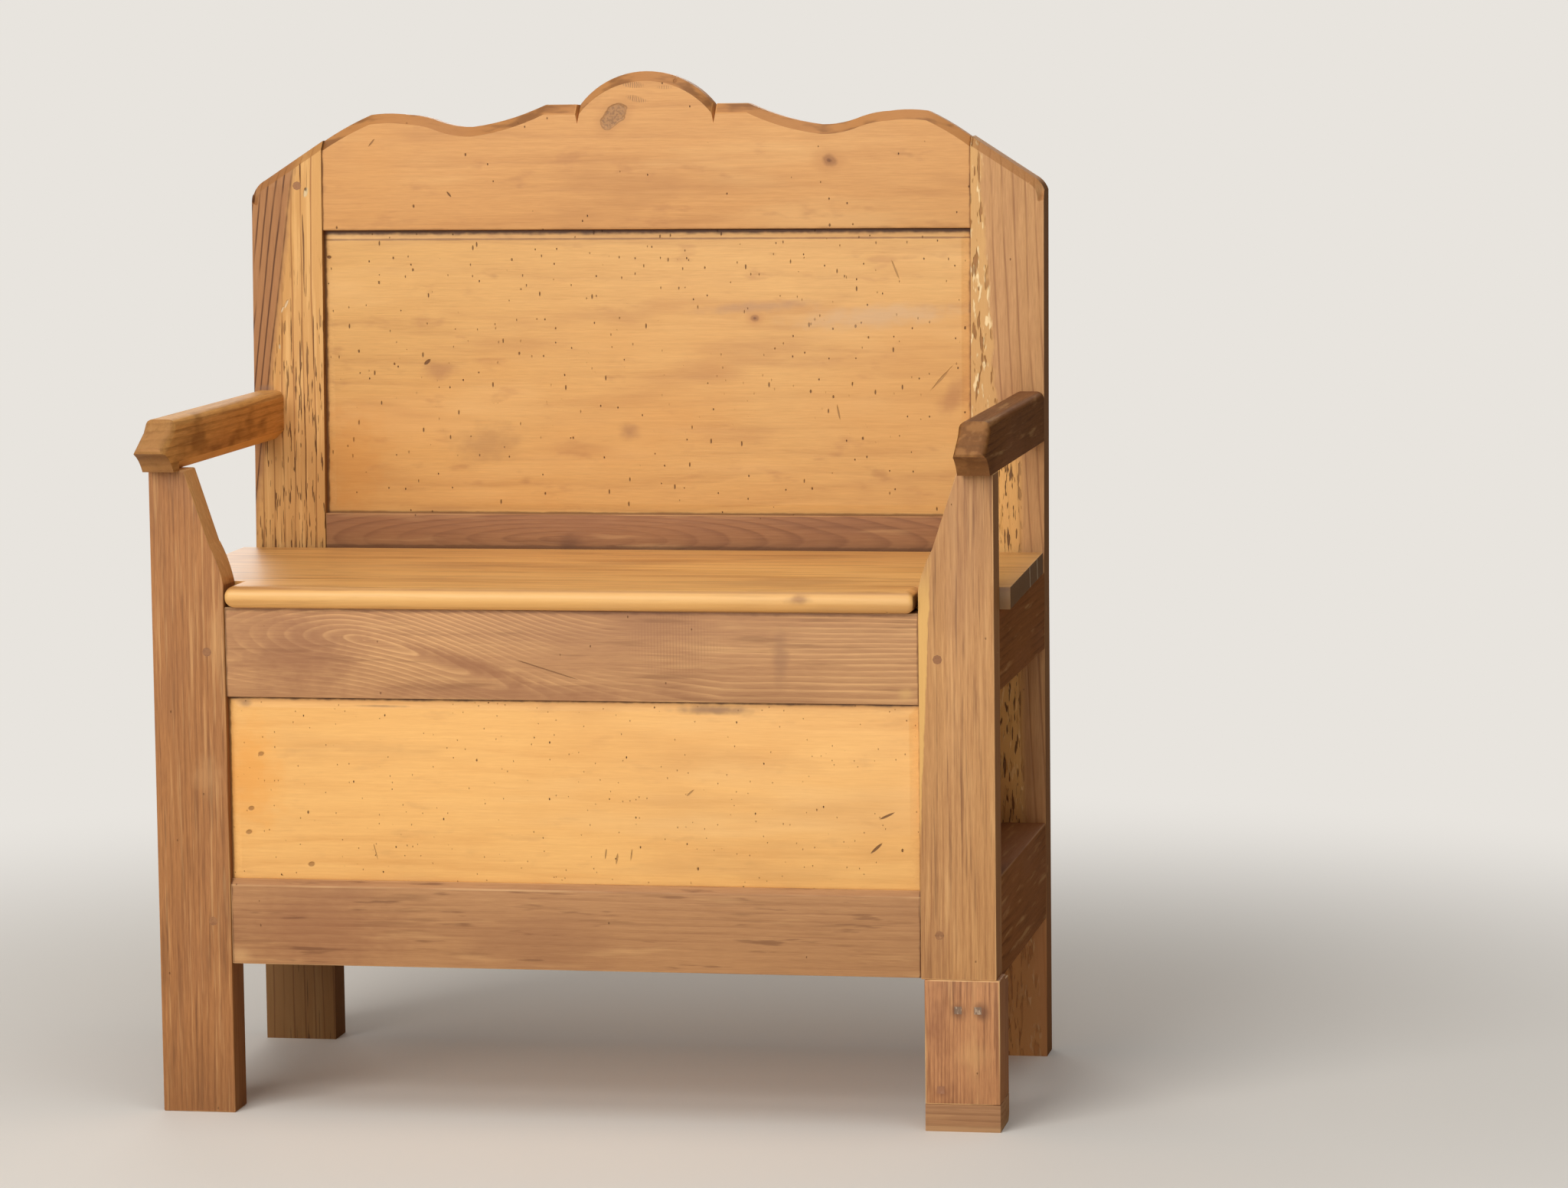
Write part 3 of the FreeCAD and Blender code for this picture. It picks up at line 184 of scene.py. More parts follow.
class Line:
    """One socket of a finish. A sum on it adds the node that works it out."""

    def __init__(self, finish, socket):
        self.finish = finish
        self.socket = socket

    def maths(self, operation, *others):
        values = dict(enumerate([self, *others]))
        return self.finish.line("Math", {"operation": operation}, values)

    def __add__(self, other):
        return self.maths("ADD", other)

    def __radd__(self, other):
        return self.maths("ADD", other)

    def __sub__(self, other):
        return self.maths("SUBTRACT", other)

    def __rsub__(self, other):
        return (self * -1.0) + other

    def __mul__(self, other):
        return self.maths("MULTIPLY", other)

    def __rmul__(self, other):
        return self.maths("MULTIPLY", other)

    def __truediv__(self, other):
        return self.maths("DIVIDE", other)

    def __pow__(self, other):
        return self.maths("POWER", other)

    def __abs__(self):
        return self.maths("ABSOLUTE")

    def most(self, other):
        return self.maths("MAXIMUM", other)

    def least(self, other):
        return self.maths("MINIMUM", other)

    def part(self):
        return self.maths("FRACT")

    def rise(self, low, high):
        """0 below low, 1 above high, and a smooth step between them."""
        settings = {"interpolation_type": "SMOOTHSTEP"}
        return self.finish.line("MapRange", settings, {"Value": self, "From Min": low, "From Max": high})

    def fall(self, low, high):
        """1 below low, 0 above high, and a smooth step between them."""
        return 1.0 - self.rise(low, high)

    def near(self, place, half, soft):
        """1 within half of a place, and gone a little further out."""
        return abs(self - place).fall(half - soft, half + soft)


class Finish:
    """A material, or the world's light, that is built up node by node."""

    def __init__(self, owner):
        self.owner = owner
        owner.use_nodes = True
        self.tree = owner.node_tree
        self.tree.nodes.clear()

    def node(self, kind, settings, sockets):
        """One node of a kind. The setting "stops" lists the greys of a ramp with their places."""
        made = self.tree.nodes.new("ShaderNode" + kind)
        for key, value in settings.items():
            if key != "stops":
                setattr(made, key, value)
                continue
            stops = made.color_ramp.elements
            for stop, (place, grey) in zip((stops[0], stops[1]), (value[0], value[-1])):
                stop.position, stop.color = place, (grey, grey, grey, 1)
            for place, grey in value[1:-1]:
                stops.new(place).color = (grey, grey, grey, 1)
        for key, value in sockets.items():
            if isinstance(value, Line):
                self.tree.links.new(value.socket, made.inputs[key])
            else:
                made.inputs[key].default_value = value
        return made

    def line(self, kind, settings, sockets, output=0):
        return Line(self, self.node(kind, settings, sockets).outputs[output])

    def mix(self, share, one, other):
        """A colour between two. The node keeps its colours on sockets 6 and 7, and gives them on output 2."""
        settings = {"data_type": "RGBA", "clamp_factor": True}
        return self.line("Mix", settings, {0: share, 6: one, 7: other}, output=2)

    def end(self, surface, kind="OutputMaterial"):
        """Joins the last shader to the output."""
        out = self.node(kind, {}, {})
        self.tree.links.new(surface.outputs[0], out.inputs[0])
        return self.owner

    def place(self, x, y, z):
        return self.line("CombineXYZ", {}, {"X": x, "Y": y, "Z": z})

    def clouds(self, point, detail, rough):
        sockets = {"Vector": point, "Scale": 1.0, "Detail": detail, "Roughness": rough}
        return self.line("TexNoise", {}, sockets)


def tint(red, green, blue):
    """A colour as it is seen, from 0 to 255, turned into the light that it sends back."""
    seen = [value / 255 for value in (red, green, blue)]
    light = [value / 12.92 if value <= 0.04045 else ((value + 0.055) / 1.055) ** 2.4 for value in seen]
    return (*light, 1.0)


# Which of x, y and z runs along the grain, which across the face, and which through the board
GRAIN = {"x": (0, 2, 1), "y": (1, 2, 0), "z": (2, 0, 1)}

# How dark the wood is from one year line to the next: place and strength
YEAR = [(0, 0.05), (0.5, 0.2), (0.88, 1.0), (1, 0.05)]

# Depths of the marks, in metres
LATE_WOOD, FIBRE, NICK, FILLER, WORM_HOLE = 0.00006, 0.00016, 0.0006, 0.0004, 0.0008
CRACK, YEAR_LINE, FLECK = 0.0008, 0.0002, 0.0004
TICK_SPACING = 0.0022  # from one rubbed mark to the next

# Colours that come back
BRUISE = (96, 56, 28)
# Painted shade in corners, with some old dirt
SHADE_AND_DIRT = (92, 54, 28)
WORM_DUST = (88, 50, 24)
RAW_WOOD = (236, 210, 170)
WET_MARK = (142, 104, 74)


class Board(Finish):
    """The look of one board: its grain first, then what the years have done to it."""

    def __init__(self, name, grain, seed):
        super().__init__(bpy.data.materials.new(name))
        coordinates = self.node("TexCoord", {}, {})
        split = self.node("SeparateXYZ", {}, {"Vector": Line(self, coordinates.outputs["Object"])})
        facing = self.node("SeparateXYZ", {}, {"Vector": Line(self, coordinates.outputs["Normal"])})
        self.x, self.y, self.z = (Line(self, split.outputs[number]) for number in range(3))
        self.side, self.front, self.up = (Line(self, facing.outputs[number]) for number in range(3))
        lines = (self.x, self.y, self.z)
        self.aside, self.through = (lines[number] for number in GRAIN[grain][1:])
        self.run, self.across, self.depth = (lines[number] + seed for number in GRAIN[grain])
        self.ragged = self.drift(1.4, 90.0, 2.0) - 0.5

    def broad(self):
        """1 on the faces that look to the front or the back, and 0 on the others."""
        return abs(self.front).rise(0.5, 0.8)

    def drift(self, stretch, scale, detail=3.0, seed=0.0, rough=0.55):
        """Clouds that are drawn out along the grain, scale of them to a metre across it."""
        point = self.place(self.run * (scale / stretch) + seed, self.across * scale, self.depth * scale)
        return self.clouds(point, detail, rough)

    def grow(self, pale, dark, aside, depth, rings, wander=0.006, ring_share=0.5, fibre_share=1.0,
             fibre=420.0):
        """Lays out the year rings, where aside and depth are the distances from the heart of the tree."""
        waves = self.drift(3.2, 7.0) - 0.5
        ripples = self.drift(9.0, 34.0, 2.0, 7.7) - 0.5
        radius = (aside ** 2.0 + depth ** 2.0) ** 0.5 + waves * wander + ripples * (0.8 / rings)
        strength = self.drift(4.0, 15.0, 2.0, 4.4).rise(0.34, 0.62)
        late = self.line("ValToRGB", {"stops": YEAR}, {"Fac": (radius * rings).part()}) * strength
        fine, finest = self.drift(36.0, fibre, 3.0, rough=0.65), self.drift(14.0, fibre * 2.2, 2.0, 5.5)
        fibres = fine * 0.55 + finest * 0.45
        share = late * ring_share + (fibres - 0.5) * fibre_share + 0.3
        self.colour = self.mix(share, tint(*pale), tint(*dark))
        self.height = late * -LATE_WOOD + fibres * (FIBRE * fibre_share)
        self.uneven = (fibres - 0.5) * 0.2

    def stain(self, mask, colour, amount=1.0):
        """Another colour where the mask is 1."""
        self.colour = self.mix(mask * amount, self.colour, tint(*colour))

    def sink(self, mask, deep):
        """A hollow where the mask is 1."""
        self.height = self.height - mask * deep

    def streak(self, colour, stretch, scale, low, high, amount, seed=0.0):
        """Soft streaks of another shade along the grain."""
        self.stain(self.drift(stretch, scale, 3.0, seed).rise(low, high), colour, amount)

    def reach(self, x, z, half_x, half_z, tilt=0.0):
        """0 in the middle of a ragged oval on the face of the board, and 1 at its rim."""
        turn = math.radians(tilt)
        right, rise = self.x - x, self.z - z
        along = (right * math.cos(turn) + rise * math.sin(turn)) / half_x
        upward = (rise * math.cos(turn) - right * math.sin(turn)) / half_z
        return (along ** 2.0 + upward ** 2.0) ** 0.5 + self.ragged * 0.9

    def smudge(self, x, z, half_x, half_z, colour, amount, tilt=0.0):
        """A soft spot of another colour."""
        self.stain(self.reach(x, z, half_x, half_z, tilt).fall(0.1, 1.1), colour, amount)

    def nick(self, x, z, half_x, half_z, tilt=0.0, colour=BRUISE, amount=0.85):
        """A dent or a scratch, with another colour at its bottom."""
        mask = self.reach(x, z, half_x, half_z, tilt).fall(0.6, 1.0)
        self.stain(mask, colour, amount)
        self.sink(mask, NICK)

    def knot(self, x, z, half_x, half_z):
        """A small tight knot with darker wood drawn round it."""
        reach = self.reach(x, z, half_x, half_z)
        self.stain(reach.fall(0.6, 2.6), (190, 134, 80), 0.45)
        self.stain(reach.fall(0.5, 1.1), (146, 96, 60), 0.65)
        self.stain(reach.fall(0.1, 0.4), (104, 62, 36), 0.7)

    def filled_knot(self, x, z, half_x, half_z, tilt):
        """A loose knot made good with a grey filler, sunk a little, with a thin dark rim."""
        reach = self.reach(x, z, half_x, half_z, tilt)
        self.stain(reach.fall(0.8, 2.0), (186, 132, 80), 0.4)
        inside = reach.fall(0.80, 1.05)
        self.stain(inside, (164, 122, 82), 0.7)
        self.stain(inside * self.drift(1.0, 420.0, 3.0, 4.0).rise(0.44, 0.60), (128, 94, 66), 0.6)
        self.stain(reach.near(0.98, 0.05, 0.05), (116, 76, 46), 0.5)
        self.sink(reach.fall(0.8, 1.0), FILLER)

    def worm(self, holes, size, seed=0.0, colour=WORM_DUST, amount=0.95, mask=None, tall=0.75):
        """Flight holes of the woodworm through the board, where holes is how many go to a metre."""
        point = self.place(self.x * 1.3 + seed, self.y, self.z * tall)
        cell = self.line("TexVoronoi", {}, {"Vector": point, "Scale": holes, "Randomness": 1.0})
        hole = cell.fall(size * holes * 0.55, size * holes)
        if mask is not None:
            hole = hole * mask
        self.stain(hole, colour, amount)
        self.sink(hole, WORM_HOLE)

    def checks(self, mask, along, aside, low, high, colour, seed=0.0):
        """Fine drying cracks along the grain."""
        point = self.place(self.run * along + seed, self.across * aside, self.depth * aside * 0.3)
        crack = self.clouds(point, 2.0, 0.5).fall(low, high) * mask
        self.stain(crack, colour, 0.85)
        self.sink(crack, CRACK)

    def figure(self, mask, across, spacing, width, colour, amount, seed=0.0):
        """Dark year lines a set distance apart, where across is the distance that they are counted over."""
        wander = (self.drift(9.0, 26.0, 2.0, seed) - 0.5) * 1.2
        line = (across / spacing + wander).part().near(0.5, width / spacing, width / spacing) * mask
        self.stain(line * self.drift(6.0, 60.0, 2.0, seed + 3.0).rise(0.28, 0.48), colour, amount)
        self.sink(line, YEAR_LINE)

    def scuff(self, x, z, half_x, half_z, tilt=0.0, amount=0.6):
        """A row of short upright marks that something rubbed into the face."""
        mask = self.reach(x, z, half_x, half_z, tilt).fall(0.5, 1.0)
        tick = (self.x / TICK_SPACING + self.ragged * 2.0).part().near(0.5, 0.22, 0.16)
        self.stain(tick * mask, (122, 86, 58), amount)

    def corner_shade_and_dirt(self, distance, width, colour=SHADE_AND_DIRT, amount=0.8):
        """Darkening in a corner, where distance is how far the surface is from it: painted shade, with some
        old dirt.
        """
        self.stain((distance + self.ragged * width).fall(width * 0.3, width * 1.2), colour, amount)

    def wear(self, colour, amount):
        """Paler wood where an arris is rubbed."""
        worn = self.line("Attribute", {"attribute_name": "worn"}, {}, output="Fac")
        self.stain(worn * self.drift(4.0, 30.0, 2.0, 9.0).rise(0.35, 0.6), colour, amount)

    def wax(self, rough, gloss=0.4):
        """Ends the finish: an old wax polish on the front, rubbed away to dull wood on the sides."""
        normal = self.line("Bump", {}, {"Strength": 1.0, "Distance": 1.0, "Height": self.height})
        sockets = {"Base Color": self.colour, "Roughness": self.uneven + rough, "Normal": normal}
        waxed = self.node("BsdfPrincipled", {}, {**sockets, "Specular IOR Level": gloss})
        matt = self.node("BsdfDiffuse", {}, {"Color": self.colour, "Normal": normal})
        dull = abs(self.side).rise(0.5, 0.9) * 0.85
        shaders = {0: dull, 1: Line(self, waxed.outputs[0]), 2: Line(self, matt.outputs[0])}
        return self.end(self.node("MixShader", {}, shaders))


def iron(name, colour, rust):
    """Dark iron with spots of rust."""
    finish = Finish(bpy.data.materials.new(name))
    point = finish.line("TexCoord", {}, {}, output="Object")
    cloud = finish.line("TexNoise", {}, {"Vector": point, "Scale": 240.0, "Detail": 4.0})
    fine = finish.line("TexNoise", {}, {"Vector": point, "Scale": 900.0, "Detail": 3.0})
    tone = finish.mix(cloud.rise(0.45, 0.65), tint(*colour), tint(*rust))
    normal = finish.line("Bump", {}, {"Strength": 0.6, "Distance": 1.0, "Height": fine * 0.0002})
    sockets = {"Base Color": tone, "Roughness": 0.5 + cloud * 0.25, "Normal": normal, "Metallic": 0.85}
    return finish.end(finish.node("BsdfPrincipled", {}, sockets))


# The pine boards. A mark lies where the photograph shows it: its x and z, its half width and half height
# in metres, its colour as it is seen, how strong it is, and its tilt in degrees.

def pine(name, pale, dark, seed, holes, cloud=1.0):
    """A wide waxed pine board, clouded and streaked, with worm holes."""
    board = Board(name, "x", seed)
    board.grow(pale, dark, board.aside - 1.4, board.through * 0.5 + 0.3, 44, wander=0.05, ring_share=0.30,
               fibre_share=1.1, fibre=400.0)
    board.streak((184, 130, 80), 4.5, 24.0, 0.50, 0.74, 0.50 * cloud, seed=3.0)
    board.streak((240, 194, 130), 6.0, 20.0, 0.50, 0.74, 0.40, seed=6.0)
    board.streak((172, 116, 74), 3.0, 60.0, 0.58, 0.76, 0.35 * cloud, seed=8.0)
    board.streak((154, 102, 66), 2.2, 34.0, 0.66, 0.78, 0.40 * cloud, seed=14.0)
    board.streak((214, 150, 80), 1.6, 5.0, 0.45, 0.70, 0.35, seed=1.0)
    board.worm(holes, 0.0010)
    board.worm(holes * 0.5, 0.0015, seed=3.7, amount=0.8)
    return board


crest = pine("waxed_pine_crest", (226, 170, 106), (186, 130, 78), 0.31, 52.0)
crest.filled_knot(-0.0290, 0.9555, 0.0160, 0.0092, tilt=46)
crest.scuff(-0.010, 0.9870, 0.014, 0.0040, tilt=-4)
crest.scuff(-0.006, 0.9725, 0.012, 0.0036, tilt=-12)
crest.scuff(0.022, 0.9840, 0.010, 0.0024, amount=0.35)
crest.nick(0.0335, 0.9905, 0.0026, 0.0026)
crest.knot(0.192, 0.909, 0.009, 0.007)
crest.nick(-0.202, 0.877, 0.004, 0.0012, tilt=-50)
crest.nick(-0.283, 0.930, 0.005, 0.0010, tilt=50, amount=0.6)
# The upward faces of the bevel are darkened as painted shade, and darker again in patches of patina
shaded_bevel = crest.up.rise(0.12, 0.4)
crest.stain(shaded_bevel, (172, 112, 56), 0.75)
crest.stain(shaded_bevel * crest.drift(3.0, 46.0, 3.0, 5.0).rise(0.46, 0.60), (122, 76, 36), 0.75)
# Painted shade along the bottom edge, and dirt in the joints at the posts
crest.corner_shade_and_dirt(crest.z - crest_low, 0.003, amount=0.4)
crest.corner_shade_and_dirt(post_inner - abs(crest.x), 0.002)
crest.wear((216, 156, 92), 0.6)
crest_finish = crest.wax(0.46, gloss=0.3)

back_panel = pine("waxed_pine_back_panel", (232, 182, 112), (194, 143, 86), 1.73, 74.0)
back_panel.worm(70.0, 0.0012, seed=8.1, tall=0.40, amount=0.8)
back_panel.worm(96.0, 0.0009, seed=4.6, tall=0.55, amount=0.7, mask=back_panel.z.rise(0.60, 0.80))
back_panel.smudge(-0.310, 0.600, 0.050, 0.075, (214, 146, 70), 0.45)
back_panel.smudge(-0.165, 0.622, 0.050, 0.026, (176, 130, 84), 0.5, tilt=10)
back_panel.smudge(-0.215, 0.696, 0.022, 0.013, (176, 124, 82), 0.6)
back_panel.smudge(-0.017, 0.634, 0.014, 0.010, (164, 116, 78), 0.6)
back_panel.smudge(0.240, 0.752, 0.110, 0.014, (208, 174, 136), 0.6, tilt=4)
back_panel.smudge(0.120, 0.762, 0.080, 0.007, (180, 138, 102), 0.6, tilt=4)
back_panel.smudge(0.318, 0.672, 0.014, 0.030, (166, 108, 66), 0.45, tilt=-38)
back_panel.nick(0.304, 0.688, 0.0012, 0.018, tilt=-42, amount=0.4)
back_panel.nick(-0.228, 0.7055, 0.0042, 0.0018, tilt=40)
back_panel.knot(0.114, 0.750, 0.005, 0.004)
back_panel.nick(0.2585, 0.799, 0.0009, 0.011, tilt=22, amount=0.4)
back_panel.nick(0.200, 0.654, 0.0010, 0.009, tilt=12, amount=0.5)
back_panel.nick(-0.331, 0.813, 0.003, 0.002)
# Painted shade in the recess under the crest, along the posts and above the back rail, with a dark line where
# the bevel meets the field
back_panel.corner_shade_and_dirt(crest_low - back_panel.z, 0.0048, (74, 40, 18), 0.95)
second_line = crest_low - 0.0088
back_panel.corner_shade_and_dirt(abs(second_line - back_panel.z), 0.0012, (128, 84, 50), 0.7)
back_panel.corner_shade_and_dirt(abs(abs(back_panel.x) - post_inner), 0.0034, (96, 52, 30), 0.85)
back_panel.corner_shade_and_dirt(back_panel.z - back_rail_high, 0.0022, (110, 70, 42), 0.7)
back_panel_finish = back_panel.wax(0.44, gloss=0.3)

front_panel = pine("waxed_pine_front_panel", (248, 194, 118), (222, 160, 90), 3.2, 60.0, cloud=0.5)
front_panel.worm(130.0, 0.0007, seed=2.2, colour=(150, 96, 48), amount=0.7)
front_panel.smudge(-0.318, 0.330, 0.040, 0.070, (236, 160, 72), 0.6)
front_panel.smudge(0.140, 0.4005, 0.048, 0.006, WET_MARK, 0.8)
front_panel.smudge(-0.322, 0.402, 0.010, 0.005, WET_MARK, 0.6)
front_panel.smudge(-0.185, 0.400, 0.032, 0.0016, (150, 112, 76), 0.6)
for x, z in ((-0.306, 0.352), (-0.317, 0.299), (-0.320, 0.2755), (-0.258, 0.245)):
    front_panel.nick(x, z, 0.0036, 0.0026, tilt=20, colour=(150, 100, 52), amount=0.7)
front_panel.nick(-0.194, 0.259, 0.0006, 0.009, tilt=14, colour=(160, 108, 60), amount=0.6)
front_panel.nick(0.116, 0.320, 0.0010, 0.006, tilt=-48, amount=0.5)
for x, z in ((0.033, 0.260), (0.044, 0.256), (0.058, 0.259)):
    front_panel.nick(x, z, 0.0009, 0.006, tilt=-8, amount=0.5)
front_panel.nick(0.306, 0.301, 0.0100, 0.0012, tilt=25)
front_panel.nick(0.2945, 0.269, 0.0084, 0.0013, tilt=42)
# Painted shade under the top rail, along the legs and at the low rail
front_panel.corner_shade_and_dirt(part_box("front_top_rail")[0].z - front_panel.z, 0.0032, (70, 38, 18), 0.95)
front_panel.corner_shade_and_dirt(abs(abs(front_panel.x) - leg_inner), 0.0022, (120, 70, 36), 0.8)
front_panel.corner_shade_and_dirt(front_panel.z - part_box("front_low_rail")[1].z + 0.006, 0.0040, (214, 150, 84), 0.6)
front_panel_finish = front_panel.wax(0.42, gloss=0.3)


# The browner frame

def frame_wood(board, pale, dark, aside, depth, rings, **shares):
    """The rings and the streaks that all the boards of the frame have."""
    board.grow(pale, dark, aside, depth, rings, **shares)
    board.streak((112, 70, 40), 14.0, 120.0, 0.56, 0.72, 0.35, seed=1.0)
    board.streak((224, 176, 118), 12.0, 100.0, 0.56, 0.72, 0.28, seed=7.0)
    board.streak((140, 92, 62), 3.0, 13.0, 0.48, 0.70, 0.35, seed=2.0)
    board.worm(34.0, 0.0010, seed=1.3, amount=0.6)


seat = Board("polished_seat", "x", 2.4)
frame_wood(seat, (240, 186, 112), (200, 140, 74), seat.through - 0.5, 0.2, 60, wander=0.03, ring_share=0.4)
seat.streak((176, 116, 56), 16.0, 50.0, 0.50, 0.66, 0.5, seed=4.0)
seat.streak((132, 84, 42), 22.0, 110.0, 0.60, 0.72, 0.5, seed=9.0)
nose = seat.front.fall(-0.75, -0.35)
seat.stain(nose, (226, 170, 98), 0.5)
# A pale band on the nose a little under the top: a painted highlight
seat.stain(nose * (seat.z - seat_top).near(-0.008, 0.0035, 0.002), (244, 196, 124), 0.4)
nose_line = seat.z.near(seat_top - 0.0015, 0.0012, 0.001) * seat.y.fall(seat_nose, seat_nose + 0.012)
seat.stain(nose_line, (150, 96, 48), 0.6)
seat.smudge(0.226, 0.508, 0.016, 0.006, (150, 100, 56), 0.7)
seat.nick(-0.300, 0.5185, 0.003, 0.002)
# The end faces are made dark: partly darker end grain, partly painted shade
end_grain = abs(seat.side).rise(0.7, 0.9)
seat.stain(end_grain, (98, 66, 36), 0.95)
seat.stain(nose * abs(seat.x).rise(leg_inner, leg_inner + 0.004), (112, 76, 42), 0.8)
for place in (0.045, 0.118):
    from_crack = seat.y - place + (seat.z - seat_low) * 0.25 + seat.ragged * 0.006
    crack = from_crack.near(0.0, 0.0012, 0.0008)
    seat.stain(end_grain * crack, (232, 212, 178), 0.95)
seat.wear((246, 200, 132), 0.5)
seat_finish = seat.wax(0.38, gloss=0.4)

top_rail = Board("swirled_front_top_rail", "x", 5.1)
swirl = -0.20  # where the rings of the rail come nearest to its face
before, after = (swirl - top_rail.x).most(0.0), (top_rail.x - swirl).most(0.0)
centre = 0.468 - top_rail.x.rise(-0.24, 0.06) * 0.075
frame_wood(top_rail, (166, 116, 78), (218, 168, 114), top_rail.z - centre,
           before * 0.24 + after.least(0.35) * 0.10, 220, wander=0.012, ring_share=0.75)
top_rail.smudge(-0.090, 0.440, 0.090, 0.010, (140, 88, 58), 0.6, tilt=-16)
top_rail.smudge(0.206, 0.452, 0.010, 0.034, (150, 108, 78), 0.5)
top_rail.smudge(-0.262, 0.452, 0.085, 0.050, (140, 90, 62), 0.55)
top_rail.smudge(-0.060, 0.415, 0.200, 0.012, (148, 98, 68), 0.5)
ripple = (top_rail.x * 330.0).part().rise(0.5, 0.9)
rippled = top_rail.reach(0.104, 0.466, 0.045, 0.034).fall(0.4, 1.2)
top_rail.stain(ripple * rippled, (150, 104, 70), 0.35)
top_rail.nick(-0.020, 0.4375, 0.036, 0.0007, tilt=-17, colour=(110, 68, 40), amount=0.6)
top_rail.smudge(0.326, 0.418, 0.012, 0.008, (214, 168, 108), 0.7)
top_rail.corner_shade_and_dirt(leg_inner - abs(top_rail.x), 0.002)
# Painted shadow of the seat lid along the top of the rail
top_rail.corner_shade_and_dirt(seat_low - top_rail.z, 0.004, amount=0.6)
top_rail.wear((220, 176, 122), 0.4)
top_rail_finish = top_rail.wax(0.48, gloss=0.3)

low_rail = Board("streaked_front_low_rail", "x", 6.3)
frame_wood(low_rail, (194, 144, 96), (142, 94, 58), low_rail.z - 0.30, 0.05, 150, wander=0.012,
           ring_share=0.35)
low_rail.smudge(-0.250, 0.180, 0.110, 0.050, (146, 94, 62), 0.5)
low_rail.streak((104, 62, 38), 9.0, 120.0, 0.60, 0.70, 0.5, seed=5.0)
low_rail.smudge(-0.330, 0.156, 0.014, 0.010, (210, 164, 112), 0.6)
low_rail.corner_shade_and_dirt(leg_inner - abs(low_rail.x), 0.002)
low_rail.wear((216, 170, 118), 0.5)
low_rail_finish = low_rail.wax(0.5, gloss=0.3)

back_rail = Board("brown_back_low_rail", "x", 7.7)
frame_wood(back_rail, (172, 120, 76), (122, 78, 48), back_rail.z - 0.525,
           abs(back_rail.x + 0.08) * 0.12, 230, wander=0.010, ring_share=0.45)
back_rail.smudge(-0.078, 0.523, 0.018, 0.012, (110, 70, 46), 0.6)
# Painted shade just above the seat
back_rail.corner_shade_and_dirt(back_rail.z - seat_top, 0.003, amount=0.6)
back_rail.wear((200, 152, 102), 0.6)
back_rail_finish = back_rail.wax(0.5, gloss=0.3)

side_rail = Board("brown_side_rails", "y", 8.2)
frame_wood(side_rail, (146, 92, 50), (96, 56, 28), side_rail.z - 0.1, 0.08, 120, wander=0.02)
side_rail.wear((170, 122, 74), 0.4)
side_rail_finish = side_rail.wax(0.62, gloss=0.15)


def leg(name, pale, dark, seed, middle):
    """A front leg, where middle is the heart of the tree in x: darker at the foot, with painted shade on its
    side faces.
    """
    board = Board(name, "z", seed)
    frame_wood(board, pale, dark, board.aside - middle, board.through * 0.4 + 0.16, 240, wander=0.010,
               ring_share=0.4, fibre_share=1.8, fibre=480.0)
    board.streak((222, 172, 114), 34.0, 260.0, 0.54, 0.68, 0.40, seed=3.0)
    board.streak((100, 60, 34), 34.0, 300.0, 0.56, 0.70, 0.45, seed=11.0)
    board.stain(board.z.fall(0.0, 0.10), (112, 72, 42), 0.30)
    # Painted shade on the side faces
    board.stain(abs(board.side).rise(0.6, 0.9) * board.up.fall(0.06, 0.14), (116, 70, 38), 0.6)
    board.stain(board.up.rise(0.08, 0.18) * board.front.near(0.0, 0.5, 0.2), (226, 176, 116), 0.5)
    return board


left_leg = leg("brown_left_leg", (184, 126, 74), (134, 84, 46), 9.4, -0.28)
left_leg.smudge(-0.358, 0.330, 0.022, 0.026, (196, 148, 98), 0.4)
left_leg.wear((208, 158, 102), 0.5)
left_leg_finish = left_leg.wax(0.5, gloss=0.3)

right_leg = leg("brown_right_leg", (206, 154, 98), (160, 108, 64), 10.6, 0.45)
from_wane = right_leg.x - leg_inner - (right_leg.z - 0.27) * 0.045 + right_leg.ragged * 0.004
wane = from_wane.fall(-0.001, 0.001) * right_leg.z.rise(0.25, 0.32) * right_leg.z.fall(0.50, 0.56)
right_leg.stain(wane, (228, 180, 106), 0.85)
right_leg.wear((222, 174, 118), 0.5)
right_leg_finish = right_leg.wax(0.5, gloss=0.3)


def post(name, pale, dark, seed, middle):
    """The plain wood of a rear post, where middle is the heart of the tree in x."""
    board = Board(name, "z", seed)
    board.grow(pale, dark, board.aside - middle, board.through * 0.3 + 0.02, 90, wander=0.016,
               ring_share=0.20, fibre_share=1.6, fibre=460.0)
    board.streak((150, 100, 64), 4.0, 40.0, 0.50, 0.72, 0.30, seed=2.0)
    board.worm(34.0, 0.0010, seed=1.3, amount=0.6)
    return board


def finish_post(board, foot):
    """The foot colour, painted shade on the upward faces and the shaded side of a post."""
    board.stain(board.z.fall(0.10, 0.36), foot, 0.75)
    # Painted shade on the upward faces
    board.stain(board.up.rise(0.3, 0.6), (160, 104, 52), 0.6)
    board.stain(board.side.rise(0.6, 0.9), (104, 64, 34), 0.75)
    board.wear((222, 172, 108), 0.45)
    return board.wax(0.54, gloss=0.25)


